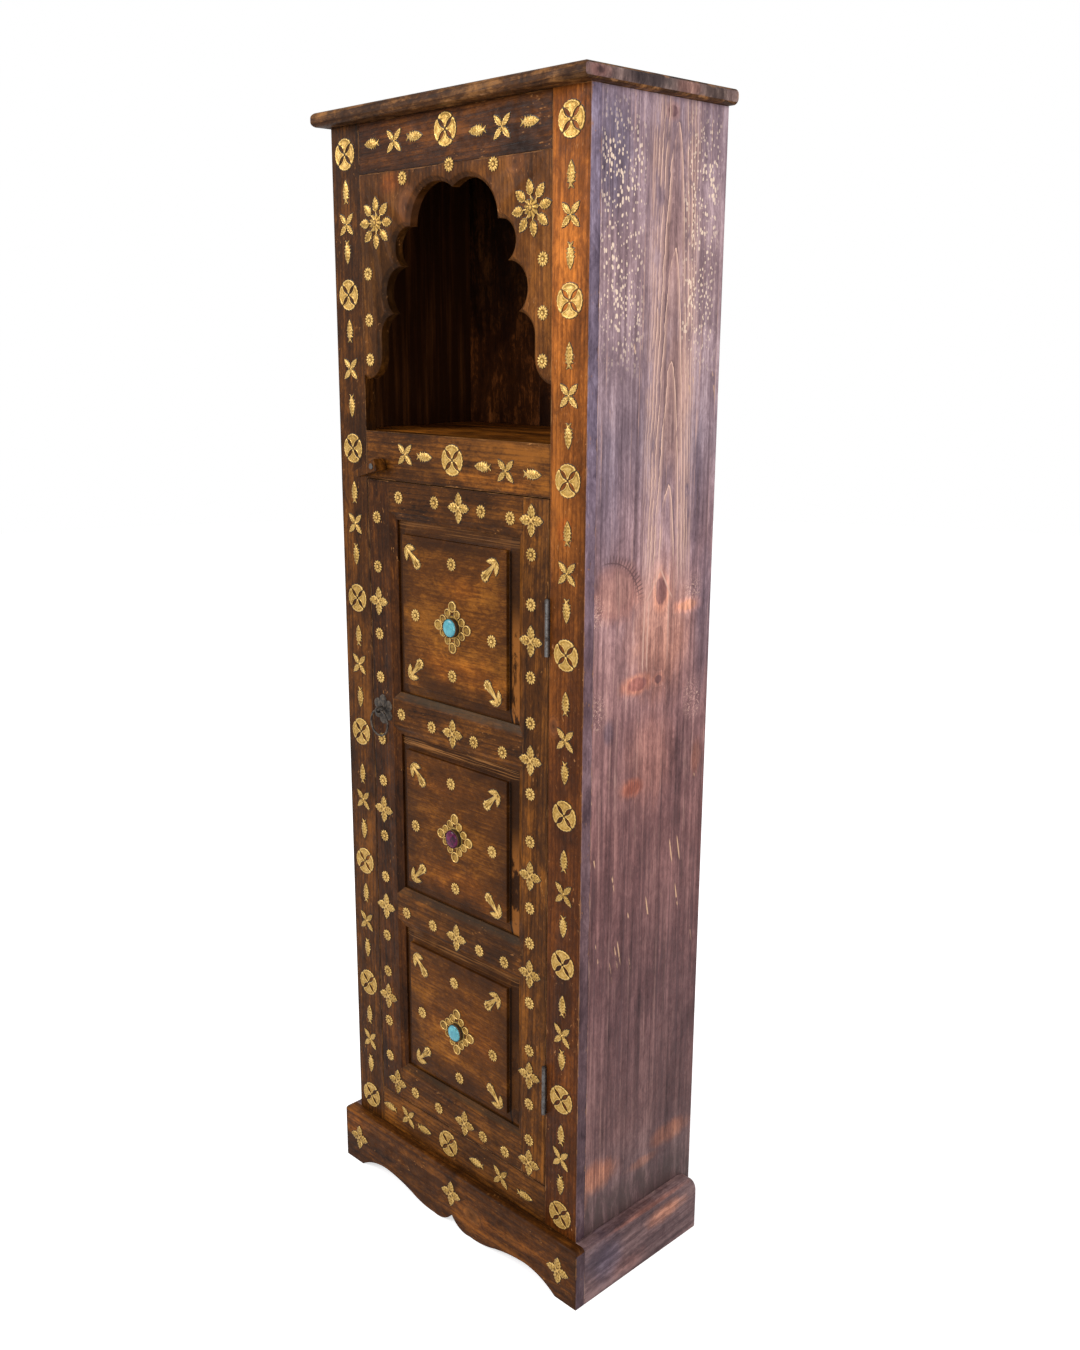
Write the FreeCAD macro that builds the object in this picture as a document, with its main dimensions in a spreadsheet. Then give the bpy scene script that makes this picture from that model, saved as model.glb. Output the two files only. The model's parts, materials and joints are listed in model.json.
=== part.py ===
import FreeCAD, Part
import math
import os
import re
import Sketcher

# A tall cupboard of stained pine: an open niche behind a scalloped arch, one long panelled door below it,
# brass ornaments over the whole front and a scalloped plinth.
# X points right as seen from the front, Y to the back and Z up, in millimetres.
# The origin is on the floor, under the middle of the box that the cabinet fills.

sizes = {
    # Carcass
    "cabinet_height": 1800,
    "carcass_width": 538,
    "carcass_depth": 282,
    "carcass_lift": 26,
    "side_thickness": 19,
    "back_thickness": 13,
    "plank_gap": 0.6,
    "top_thickness": 21,
    "top_overhang_front": 27,
    "top_overhang_side": 16,
    "top_edge_round": 8,
    # Boards inside
    "shelf_thickness": 18,
    "shelf_setback": 3,
    "floor_step": 8,
    "cleat_width": 18,
    "cleat_end_gap": 12,
    # Face frame
    "frame_thickness": 20,
    "stile_width": 67,
    "top_rail_height": 73,
    "niche_height": 378,
    "middle_rail_height": 74,
    "door_sill_height": 168,
    "bottom_rail_height": 98,
    # Bevel round the scalloped arch
    "arch_bevel_width": 7,
    "arch_bevel_depth": 6,
    # Plinth
    "plinth_height": 102,
    "plinth_thickness": 20,
    "plinth_edge_round": 8,
    "plinth_corner_round": 36,
    "scallop_height": 23,
    # Door frame
    "door_gap": 1.5,
    "door_thickness": 19.5,
    "door_stile_width": 63.5,
    "door_top_rail_height": 60,
    "door_cross_rail_height": 71,
    "door_bottom_rail_height": 70,
    "door_bevel_width": 13,
    "door_bevel_depth": 6,
    "groove_depth": 9,
    "groove_width": 7,
    "groove_setback": 9.5,
    "tenon_clearance": 0.2,
    "tenon_end_gap": 1,
    # Door panels
    "panel_clearance": 0.2,
    "panel_end_gap": 1,
    "panel_edge_gap": 0.5,
    "panel_border": 20,
    "panel_proud": 2,
    "panel_step": 7,
    "panel_edge_round": 1.2,
    # Hinges
    "hinge_height": 82,
    "upper_hinge_drop": 181,
    "lower_hinge_rise": 170,
    "leaf_thickness": 1.5,
    "leaf_width": 16,
    "knuckle_radius": 3.4,
    "knuckle_proud": 3.7,
    "knuckle_gap": 0.4,
    "hinge_pin_radius": 1.5,
    "hinge_pin_clearance": 0.05,
    "hinge_head_radius": 2.6,
    "hinge_head_height": 1.2,
    "screw_radius": 1.6,
    "screw_head_radius": 3,
    "screw_length": 14,
    "screw_spacing": 28,
    "screw_setback": 9.5,
    "screw_clearance": 0.05,
    # Turn button
    "button_length": 56,
    "button_top_width": 19.5,
    "button_tip_width": 10,
    "button_thickness": 21.5,
    "button_corner_round": 3,
    "button_pivot_inset": 9.5,
    "button_pivot_side": 40,
    "button_pivot_rise": 22,
    "button_door_clearance": 3,
    "washer_radius": 7,
    "washer_thickness": 2,
    "nail_radius": 2,
    "nail_clearance": 0.08,
    "nail_head_radius": 4.5,
    "nail_head_height": 1.4,
    "nail_grip": 15,
    # Ring pull
    "pull_lobe_radius": 8.7,
    "pull_lobe_pitch": 15.8,
    "pull_plate_thickness": 2,
    "pull_side_inset": 25.2,
    "staple_radius": 1.5,
    "staple_bend_radius": 4,
    "staple_reach": 12,
    "staple_grip": 14,
    "fastener_clearance": 0.05,
    "ring_radius": 21.5,
    "ring_wire_radius": 1.5,
    "ring_stand_off": 9.5,
    "ring_clearance": 0.2,
    # Brass ornaments
    "ornament_thickness": 1.2,
    "disc_radius": 23.5,
    "disc_slit_width": 4.4,
    "disc_hub_radius": 3,
    "fish_length": 35,
    "fish_width": 16,
    "cross_reach": 22,
    "cross_leaf_width": 8,
    "cross_hub_radius": 2.5,
    "rosette_radius": 10.3,
    "rosette_petal_radius": 3.2,
    "star_reach": 23,
    "star_leaf_width": 13,
    "star_hub_radius": 4,
    "sunflower_reach": 37,
    "sunflower_petal_start": 16,
    "sunflower_petal_width": 12.5,
    "sunflower_boss_radius": 11.5,
    "sunflower_tooth_radius": 3,
    "sunflower_inset": 37.5,
    "sunflower_drop": 70,
    "tulip_length": 48,
    "tulip_width": 33,
    "tulip_inset": 29,
    "setting_radius": 18,
    "large_loop_radius": 9,
    "large_loop_pitch": 32,
    "small_loop_radius": 7.2,
    "small_loop_pitch": 23.5,
    "small_loop_turn": 26.6,
    "stone_radius": 16,
    "stone_height": 9.5,
    # Where the brass columns and rows run
    "top_disc_drop": 40.5,
    "bottom_disc_rise": 35.5,
    "plinth_star_inset": 39,
    "plinth_star_rise": 52,
    "plinth_middle_star_rise": 62,
    "arch_rosette_inset": 16,
    # How far a cutting solid runs past what it cuts
    "overrun": 5,
}

doc = FreeCAD.newDocument("CarvedCabinet")
sheet = doc.addObject("Spreadsheet::Sheet", "Sizes")
for row, (alias, size) in enumerate(sizes.items(), start=1):
    sheet.set(f"A{row}", alias)
    sheet.set(f"B{row}", str(size))
    sheet.setAlias(f"B{row}", alias)
doc.recompute()

# The pieces that are kept, by the name of their file
pieces = {}


def full(text):
    """Writes the sheet's name before each size in a sum."""
    return re.sub(r"[a-z][a-z_]+", lambda word: "Sizes." + word[0] if word[0] in sizes else word[0], text)


def value(text):
    """The number that a sum of sizes comes to."""
    return float(sheet.evalExpression(full(text)))


# Places, as sums of sizes
half_width = "(carcass_width / 2)"
opening_half = "(carcass_width / 2 - stile_width)"
side_inner = "(carcass_width / 2 - side_thickness)"
front_y = "((top_overhang_front - carcass_depth) / 2)"
back_y = "((top_overhang_front + carcass_depth) / 2)"
inside_front_y = f"({front_y} + frame_thickness)"
inside_back_y = f"({back_y} - back_thickness)"
inside_depth = "(carcass_depth - frame_thickness - back_thickness)"
carcass_top = "(cabinet_height - top_thickness)"
carcass_height = "(cabinet_height - top_thickness - carcass_lift)"
top_rail_bottom = f"({carcass_top} - top_rail_height)"
niche_sill = f"({top_rail_bottom} - niche_height)"
middle_rail_bottom = f"({niche_sill} - middle_rail_height)"
floor_top = "(door_sill_height + floor_step)"
niche_floor_bottom = f"({niche_sill} - shelf_thickness)"

door_half = f"({opening_half} - door_gap)"
door_inner = f"({door_half} - door_stile_width)"
door_bottom = "(door_sill_height + door_gap)"
door_top = f"({middle_rail_bottom} - door_gap)"
door_height = f"({door_top} - {door_bottom})"
# The three panels share what the rails leave, from the top down
door_rails_height = "(door_top_rail_height + 2 * door_cross_rail_height + door_bottom_rail_height)"
panel_height_shares = (0.3452, 0.333, 0.3218)
upper_panel_height, middle_panel_height, lower_panel_height = [
    f"(({door_height} - {door_rails_height}) * {share})" for share in panel_height_shares]
upper_panel_bottom = f"({door_top} - door_top_rail_height - {upper_panel_height})"
upper_rail_bottom = f"({upper_panel_bottom} - door_cross_rail_height)"
middle_panel_bottom = f"({upper_rail_bottom} - {middle_panel_height})"
lower_rail_bottom = f"({middle_panel_bottom} - door_cross_rail_height)"
lower_panel_bottom = f"({door_bottom} + door_bottom_rail_height)"


def place(thing, spot):
    """Puts a thing's origin at three sums of sizes."""
    for axis, text in zip("xyz", spot):
        thing.setExpression(f"Placement.Base.{axis}", full(text))


def block(label, low, size):
    """A square-edged board or block, from its lowest corner."""
    thing = doc.addObject("Part::Box", label)
    for name, text in zip(("Length", "Width", "Height"), size):
        thing.setExpression(name, full(text))
    place(thing, low)
    return thing


def axis_turn(axis):
    """The turn that lays a rod's length along an axis."""
    up = FreeCAD.Vector(0, 0, 1)
    ways = {"x": FreeCAD.Vector(1, 0, 0), "-x": FreeCAD.Vector(-1, 0, 0), "z": up}
    ways["y"] = FreeCAD.Vector(0, 1, 0)
    ways["-y"] = FreeCAD.Vector(0, -1, 0)
    return FreeCAD.Rotation(up, ways[axis])


def rod(label, base, radius, length, axis):
    """A round rod from the middle of its first end, along an axis."""
    thing = doc.addObject("Part::Cylinder", label)
    thing.Placement = FreeCAD.Placement(FreeCAD.Vector(), axis_turn(axis))
    thing.setExpression("Radius", full(radius))
    thing.setExpression("Height", full(length))
    place(thing, base)
    return thing


def taper(label, base, first_radius, last_radius, length, axis):
    """A cone's slice from the middle of its first end, along an axis."""
    thing = doc.addObject("Part::Cone", label)
    thing.Placement = FreeCAD.Placement(FreeCAD.Vector(), axis_turn(axis))
    thing.setExpression("Radius1", full(first_radius))
    thing.setExpression("Radius2", full(last_radius))
    thing.setExpression("Height", full(length))
    place(thing, base)
    return thing


def fuse(label, things):
    """Several solids joined into one."""
    thing = doc.addObject("Part::MultiFuse", label)
    thing.Shapes = things
    return thing


def cut(label, stock, tools):
    """One solid less others."""
    thing = doc.addObject("Part::Cut", label)
    thing.Base = stock
    thing.Tool = tools[0] if len(tools) == 1 else fuse(label + "_cuts", tools)
    return thing


def group(label, things):
    """Separate solids that share one file."""
    thing = doc.addObject("Part::Compound", label)
    thing.Links = things
    return thing


def keep(thing):
    """Notes a finished piece."""
    pieces[thing.Label] = thing
    return thing


def new_body(label, spot):
    """An empty body whose origin lies at three sums of sizes."""
    body = doc.addObject("PartDesign::Body", label)
    place(body, spot)
    return body


def new_sketch(body, plane, depth="0"):
    """A sketch on one of its body's origin planes, moved along the plane's normal."""
    sketch = body.newObject("Sketcher::SketchObject", body.Name + "_sketch")
    support = [each for each in body.Origin.OriginFeatures if each.Role == plane]
    sketch.AttachmentSupport = [(support[0], "")]
    sketch.MapMode = "FlatFace"
    sketch.setExpression("AttachmentOffset.Base.z", full(depth))
    return sketch


def draw_polygon(sketch, points):
    """A closed outline whose corners are each held by two sums of sizes."""
    spots = [(value(across), value(up)) for across, up in points]
    first = sketch.GeometryCount
    count = len(points)
    for index in range(count):
        start = FreeCAD.Vector(*spots[index], 0)
        end = FreeCAD.Vector(*spots[(index + 1) % count], 0)
        sketch.addGeometry(Part.LineSegment(start, end), False)
    for index in range(count):
        after = first + (index + 1) % count
        sketch.addConstraint(Sketcher.Constraint("Coincident", first + index, 2, after, 1))
    for index in range(count):
        for kind, held in (("DistanceX", 0), ("DistanceY", 1)):
            rule = Sketcher.Constraint(kind, -1, 1, first + index, 1, spots[index][held])
            number = sketch.addConstraint(rule)
            sketch.setExpression(f"Constraints[{number}]", full(points[index][held]))


def draw_curves(sketch, curves):
    """A closed outline of lines and arcs."""
    for curve in curves:
        sketch.addGeometry(curve, False)


def add_pad(body, sketch, length):
    """Material from a sketch, along its plane's normal."""
    feature = body.newObject("PartDesign::Pad", body.Name + "_pad")
    feature.Profile = sketch
    feature.setExpression("Length", full(length))
    sketch.Visibility = False
    return feature


def add_pocket(body, sketch):
    """A cut right through the body, both ways from a sketch."""
    feature = body.newObject("PartDesign::Pocket", body.Name + "_pocket")
    feature.Profile = sketch
    feature.SideType = "Symmetric"
    feature.Type = "ThroughAll"
    return feature


def add_loft(body, kind, first, last):
    """A flat-sided run from one sketch to another."""
    feature = body.newObject(f"PartDesign::{kind}Loft", body.Name + "_loft")
    feature.Profile = first
    feature.Sections = [last]
    feature.Ruled = True
    return feature


def add_fillet(body, base, radius, chosen):
    """Rounds those edges of a feature that a test chooses."""
    doc.recompute()
    names = [f"Edge{number}" for number, edge in enumerate(base.Shape.Edges, start=1) if chosen(edge)]
    feature = body.newObject("PartDesign::Fillet", body.Name + "_fillet")
    feature.Base = (base, names)
    feature.setExpression("Radius", full(radius))
    return feature


def close(first, second):
    """Whether two places agree."""
    tolerance = 1e-4
    return abs(first - second) < tolerance


def runs_at(edge, axis, held):
    """Whether a straight edge runs along an axis, with its other coordinates as held."""
    box = edge.BoundBox
    if not isinstance(edge.Curve, Part.Line):
        return False
    lows = {"x": box.XMin, "y": box.YMin, "z": box.ZMin}
    highs = {"x": box.XMax, "y": box.YMax, "z": box.ZMax}
    if close(lows[axis], highs[axis]):
        return False
    return all(close(lows[name], spot) and close(highs[name], spot) for name, spot in held.items())


# Carcass boards

for label, low_x in (("left_side", f"-{half_width}"), ("right_side", side_inner)):
    side_size = ("side_thickness", "carcass_depth - frame_thickness", carcass_height)
    keep(block(label, (low_x, inside_front_y, "carcass_lift"), side_size))

plank_width = f"(({side_inner} - plank_gap) * 2 / 3)"
for index, where in enumerate(("left", "middle", "right")):
    plank_low = (f"-{side_inner} + {index} * ({plank_width} + plank_gap)", inside_back_y, "carcass_lift")
    keep(block(f"back_plank_{where}", plank_low, (plank_width, "back_thickness", carcass_height)))

shelf_width = f"({side_inner} * 2)"
keep(block("niche_floor", (f"-{side_inner}", inside_front_y, niche_floor_bottom),
           (shelf_width, inside_depth, "shelf_thickness")))
keep(block("cabinet_floor", (f"-{side_inner}", inside_front_y, f"{floor_top} - shelf_thickness"),
           (shelf_width, inside_depth, "shelf_thickness")))

shelf_front_y = f"({inside_front_y} + shelf_setback)"
cleats = []
for index, label in ((1, "lower_shelf"), (2, "upper_shelf")):
    shelf_bottom = f"({floor_top} + ({niche_floor_bottom} - {floor_top}) * {index} / 3 - shelf_thickness)"
    keep(block(label, (f"-{side_inner}", shelf_front_y, shelf_bottom),
               (shelf_width, f"{inside_depth} - shelf_setback", "shelf_thickness")))
    cleat_y = f"({shelf_front_y} + cleat_end_gap)"
    cleat_size = ("cleat_width", f"{inside_back_y} - {cleat_y}", "cleat_width")
    for where, low_x in (("left", f"-{side_inner}"), ("right", f"{side_inner} - cleat_width")):
        cleat_low = (low_x, cleat_y, f"{shelf_bottom} - cleat_width")
        cleats.append(block(f"{label}_{where}_cleat", cleat_low, cleat_size))
keep(group("shelf_cleats", cleats))

# Top board, rounded along its front and its ends

top_reach = f"({half_width} + top_overhang_side)"
top_board = new_body("top_board", ("0", back_y, carcass_top))
top_sketch = new_sketch(top_board, "XY_Plane")
top_front = "-(carcass_depth + top_overhang_front)"
draw_polygon(top_sketch, (
    (f"-{top_reach}", "0"),
    (f"-{top_reach}", top_front),
    (top_reach, top_front),
    (top_reach, "0"),
))
top_pad = add_pad(top_board, top_sketch, "top_thickness")
reach = value(top_reach)
add_fillet(top_board, top_pad, "top_edge_round", lambda edge: (
    runs_at(edge, "x", {"y": value(top_front)})
    or runs_at(edge, "y", {"x": reach})
    or runs_at(edge, "y", {"x": -reach})))
keep(top_board)

# Face frame

rail_width = f"({opening_half} * 2)"
keep(block("frame_left_stile", (f"-{half_width}", front_y, "carcass_lift"),
           ("stile_width", "frame_thickness", carcass_height)))
keep(block("frame_top_rail", (f"-{opening_half}", front_y, top_rail_bottom),
           (rail_width, "frame_thickness", "top_rail_height")))
keep(block("frame_bottom_rail", (f"-{opening_half}", front_y, "door_sill_height - bottom_rail_height"),
           (rail_width, "frame_thickness", "bottom_rail_height")))

# Arch board: the opening's lobes are circles, given from the top down as shares of half the face frame's opening:
# how far from the middle, how far below the top rail, how round at the back face. The foot's circle lies at the
# stile, below the last lobe. The front face's outline is wider by the bevel.
lobe_shares = ((0.168, 0.391, 0.292), (0.485, 0.535, 0.1485), (0.564, 0.847, 0.183), (0.654, 1.163, 0.163))
foot_drop_share = 1.297
foot_radius_share = 1 - lobe_shares[-1][0] - lobe_shares[-1][2]
arch_height = f"({opening_half} * {foot_drop_share + foot_radius_share})"


def outer_meeting(first, second):
    """Where two circles cross, on the side away from the middle of the arch."""
    across = second[0] - first[0]
    up = second[1] - first[1]
    apart = math.hypot(across, up)
    along = (apart**2 + first[2] ** 2 - second[2] ** 2) / (2 * apart)
    aside = math.sqrt(first[2] ** 2 - along**2)
    return (
        first[0] + (along * across - aside * up) / apart,
        first[1] + (along * up + aside * across) / apart,
    )


def flat(point):
    """A sketch point as a vector."""
    return FreeCAD.Vector(point[0], point[1], 0)


def arc_about(centre, start, end):
    """The shorter arc between two points about a centre."""
    middle = flat(centre)
    from_middle = flat(start) - middle
    toward = from_middle + (flat(end) - middle)
    toward.normalize()
    return Part.Arc(flat(start), middle + toward * from_middle.Length, flat(end))


def arch_outline(bevel):
    """The opening's outline, widened by a bevel, mirrored about the middle and closed below the board."""
    edge = value(opening_half)
    circles = [(edge * across, -edge * drop, edge * radius + bevel) for across, drop, radius in lobe_shares]
    top = circles[0]
    points = [(0, top[1] + math.sqrt(top[2] ** 2 - top[0] ** 2))]
    points += [outer_meeting(above, below) for above, below in zip(circles, circles[1:])]
    last = circles[-1]
    points.append((last[0] + last[2], last[1]))
    right = [arc_about(circle, start, end) for circle, start, end in zip(circles, points, points[1:])]
    knee = -edge * foot_drop_share
    foot = knee - edge * foot_radius_share + bevel
    past = edge + value("overrun")
    down = -value(f"{arch_height} + overrun")
    heel = (points[-1][0], knee)
    right.append(Part.LineSegment(flat(points[-1]), flat(heel)))
    right.append(arc_about((edge, knee), heel, (edge, foot)))
    right.append(Part.LineSegment(flat((edge, foot)), flat((past, foot))))
    right.append(Part.LineSegment(flat((past, foot)), flat((past, down))))
    turn = FreeCAD.Matrix(-1, 0, 0, 0, 0, 1, 0, 0, 0, 0, 1, 0, 0, 0, 0, 1)
    left = []
    for curve in reversed(right):
        other = curve.copy()
        other.transform(turn)
        left.append(other)
    return right + [Part.LineSegment(flat((past, down)), flat((-past, down)))] + left


arch_board = new_body("arch_board", ("0", inside_front_y, top_rail_bottom))
arch_sketch = new_sketch(arch_board, "XZ_Plane")
draw_polygon(arch_sketch, (
    (f"-{opening_half}", "0"),
    (f"-{opening_half}", f"-{arch_height}"),
    (opening_half, f"-{arch_height}"),
    (opening_half, "0"),
))
add_pad(arch_board, arch_sketch, "frame_thickness")
through_sketch = new_sketch(arch_board, "XZ_Plane")
draw_curves(through_sketch, arch_outline(0))
add_pocket(arch_board, through_sketch)
bevel_back = new_sketch(arch_board, "XZ_Plane", "frame_thickness - arch_bevel_depth")
draw_curves(bevel_back, arch_outline(0))
bevel_front = new_sketch(arch_board, "XZ_Plane", "frame_thickness")
draw_curves(bevel_front, arch_outline(value("arch_bevel_width")))
add_loft(arch_board, "Subtractive", bevel_back, bevel_front)
keep(arch_board)

# Plinth: the front board covers the ends of the side boards and is scalloped below

plinth_half = f"({half_width} + plinth_thickness)"
# Where the scallop's arcs begin, bend and end, as shares of the plinth's half width and of the scallop's height
scallop_shares = (
    (0.842, 0), (0.755, 0.62), (0.605, 1), (0.485, 0.83), (0.365, 0.47),
    (0.265, 0.13), (0.155, 0.05), (0.06, 0.22), (0, 0.92),
)
plinth_front = new_body("plinth_front", ("0", front_y, "0"))
plinth_sketch = new_sketch(plinth_front, "XZ_Plane")
half = value(plinth_half)
tall = value("plinth_height")
rise = value("scallop_height")
scallop = [(half * across, rise * up) for across, up in scallop_shares]
right_arcs = [(scallop[index], scallop[index + 1], scallop[index + 2]) for index in (0, 2, 4, 6)]
left_arcs = [tuple((-across, up) for across, up in reversed(points)) for points in reversed(right_arcs)]
corners = [(half, 0), (half, tall), (-half, tall), (-half, 0)]
outline = [Part.LineSegment(flat(corners[index]), flat(corners[index + 1])) for index in range(3)]
outline.append(Part.LineSegment(flat(corners[3]), flat((-scallop[0][0], 0))))
outline += [Part.Arc(*(flat(point) for point in points)) for points in left_arcs + right_arcs]
outline.append(Part.LineSegment(flat(scallop[0]), flat(corners[0])))
draw_curves(plinth_sketch, outline)
plinth_pad = add_pad(plinth_front, plinth_sketch, "plinth_thickness")
add_fillet(plinth_front, plinth_pad, "plinth_edge_round", lambda edge: (
    runs_at(edge, "x", {"y": -value("plinth_thickness"), "z": tall})
    or runs_at(edge, "y", {"x": half, "z": tall})
    or runs_at(edge, "y", {"x": -half, "z": tall})))
keep(plinth_front)

plinth_sides = (
    ("plinth_left", f"-{plinth_half}", "0"),
    ("plinth_right", half_width, "plinth_thickness"),
)
for label, low_x, outer in plinth_sides:
    plinth_side = new_body(label, (low_x, front_y, "0"))
    side_sketch = new_sketch(plinth_side, "YZ_Plane")
    draw_polygon(side_sketch, (
        ("0", "0"),
        ("carcass_depth", "0"),
        ("carcass_depth", "plinth_height"),
        ("0", "plinth_height"),
    ))
    side_pad = add_pad(plinth_side, side_sketch, "plinth_thickness")
    corner_fillet = add_fillet(plinth_side, side_pad, "plinth_corner_round", lambda edge: runs_at(
        edge, "x", {"y": value("carcass_depth"), "z": tall}))
    add_fillet(plinth_side, corner_fillet, "plinth_edge_round", lambda edge: runs_at(
        edge, "y", {"x": value(outer), "z": tall}))
    keep(plinth_side)

# Door frame: grooved stiles and rails with a bevel round each panel; the rails' ends are coped over the
# stiles' bevel and tongued into their groove


def door_stile(label, side):
    """One long side of the door, as its section padded upwards."""
    body = new_body(label, ("0", front_y, door_bottom))
    groove_back = "groove_setback + groove_width"
    section = (
        (door_half, "0"),
        (f"{door_inner} + door_bevel_width", "0"),
        (door_inner, "door_bevel_depth"),
        (door_inner, "groove_setback"),
        (f"{door_inner} + groove_depth", "groove_setback"),
        (f"{door_inner} + groove_depth", groove_back),
        (door_inner, groove_back),
        (door_inner, "door_thickness"),
        (door_half, "door_thickness"),
    )
    sketch = new_sketch(body, "XY_Plane")
    draw_polygon(sketch, [(f"{side} * ({across})", back) for across, back in section])
    add_pad(body, sketch, door_height)
    return body


def door_rail(label, low, height, bevelled):
    """One rail: its plan padded upwards, less the bevel and the groove of each edge that meets a panel."""
    body = new_body(label, ("0", front_y, low))
    tongue = f"({door_inner} + groove_depth - tenon_end_gap)"
    tongue_front = "groove_setback + tenon_clearance"
    tongue_back = "groove_setback + groove_width - tenon_clearance"
    half_plan = (
        (f"({door_inner} + door_bevel_width)", "0"),
        (door_inner, "door_bevel_depth"),
        (door_inner, tongue_front),
        (tongue, tongue_front),
        (tongue, tongue_back),
        (door_inner, tongue_back),
        (door_inner, "door_thickness"),
    )
    plan = list(half_plan) + [(f"-{across}", back) for across, back in reversed(half_plan)]
    sketch = new_sketch(body, "XY_Plane")
    draw_polygon(sketch, plan)
    add_pad(body, sketch, height)
    edges = new_sketch(body, "YZ_Plane")
    for edge in bevelled:
        def inward(depth):
            return depth if edge == "lower" else f"{height} - {depth}"
        draw_polygon(edges, (
            ("0", inward("0")),
            ("0", inward("door_bevel_width")),
            ("door_bevel_depth", inward("0")),
        ))
        draw_polygon(edges, (
            ("groove_setback", inward("0")),
            ("groove_setback", inward("groove_depth")),
            ("groove_setback + groove_width", inward("groove_depth")),
            ("groove_setback + groove_width", inward("0")),
        ))
    add_pocket(body, edges)
    return keep(body)


left_stile_blank = door_stile("door_left_stile_blank", -1)
door_rail("door_top_rail", f"{door_top} - door_top_rail_height", "door_top_rail_height", ("lower",))
door_rail("door_upper_rail", upper_rail_bottom, "door_cross_rail_height", ("lower", "upper"))
door_rail("door_lower_rail", lower_rail_bottom, "door_cross_rail_height", ("lower", "upper"))
door_rail("door_bottom_rail", door_bottom, "door_bottom_rail_height", ("upper",))

# Door panels: a tongue in the grooves, a border that slopes up to a step, and the raised field


def rectangle(half_across, low, high):
    """The corners of an upright rectangle about the middle."""
    return ((f"-{half_across}", low), (half_across, low), (half_across, high), (f"-{half_across}", high))


def door_panel(label, low, height):
    """One raised panel, built forwards from the back of its tongue."""
    body = new_body(label, ("0", front_y, low))
    tongue_reach = "(groove_depth - panel_end_gap)"
    tongue_sketch = new_sketch(body, "XZ_Plane", "-(groove_setback + groove_width - panel_clearance)")
    draw_polygon(tongue_sketch, rectangle(
        f"({door_inner} + {tongue_reach})", f"-{tongue_reach}", f"{height} + {tongue_reach}"))
    add_pad(body, tongue_sketch, "groove_width - 2 * panel_clearance")
    foot_sketch = new_sketch(body, "XZ_Plane", "-(groove_setback + panel_clearance)")
    draw_polygon(foot_sketch, rectangle(
        f"({door_inner} - panel_edge_gap)", "panel_edge_gap", f"{height} - panel_edge_gap"))
    rim_sketch = new_sketch(body, "XZ_Plane", "panel_proud - panel_step")
    rim = rectangle(f"({door_inner} - panel_border)", "panel_border", f"{height} - panel_border")
    draw_polygon(rim_sketch, rim)
    add_loft(body, "Additive", foot_sketch, rim_sketch)
    field_sketch = new_sketch(body, "XZ_Plane", "panel_proud - panel_step")
    draw_polygon(field_sketch, rim)
    field = add_pad(body, field_sketch, "panel_step")
    front = -value("panel_proud")
    across = value(f"{door_inner} - panel_border")
    low_edge = value("panel_border")
    high_edge = value(f"{height} - panel_border")
    add_fillet(body, field, "panel_edge_round", lambda edge: (
        runs_at(edge, "x", {"y": front, "z": low_edge})
        or runs_at(edge, "x", {"y": front, "z": high_edge})
        or runs_at(edge, "z", {"y": front, "x": across})
        or runs_at(edge, "z", {"y": front, "x": -across})))
    return keep(body)


panel_rows = (
    ("door_upper_panel", upper_panel_bottom, upper_panel_height),
    ("door_middle_panel", middle_panel_bottom, middle_panel_height),
    ("door_lower_panel", lower_panel_bottom, lower_panel_height),
)
for label, low, height in panel_rows:
    door_panel(label, low, height)

# Butt hinges: two knuckles on the frame's leaf, one on the door's leaf between them, a headed pin, three
# screws through each leaf; the leaves are let into the edges of the two stiles

hinge_x = f"({opening_half} - door_gap / 2)"
hinge_y = f"({front_y} - knuckle_proud)"
screw_y = f"({front_y} + screw_setback)"
hinge_rows = (
    ("upper_hinge", f"({door_top} - upper_hinge_drop - hinge_height / 2)"),
    ("lower_hinge", f"({door_bottom} + lower_hinge_rise - hinge_height / 2)"),
)
stile_cuts = {"frame": [], "door": []}
hinge_screws = {"frame": [], "door": []}


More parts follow.
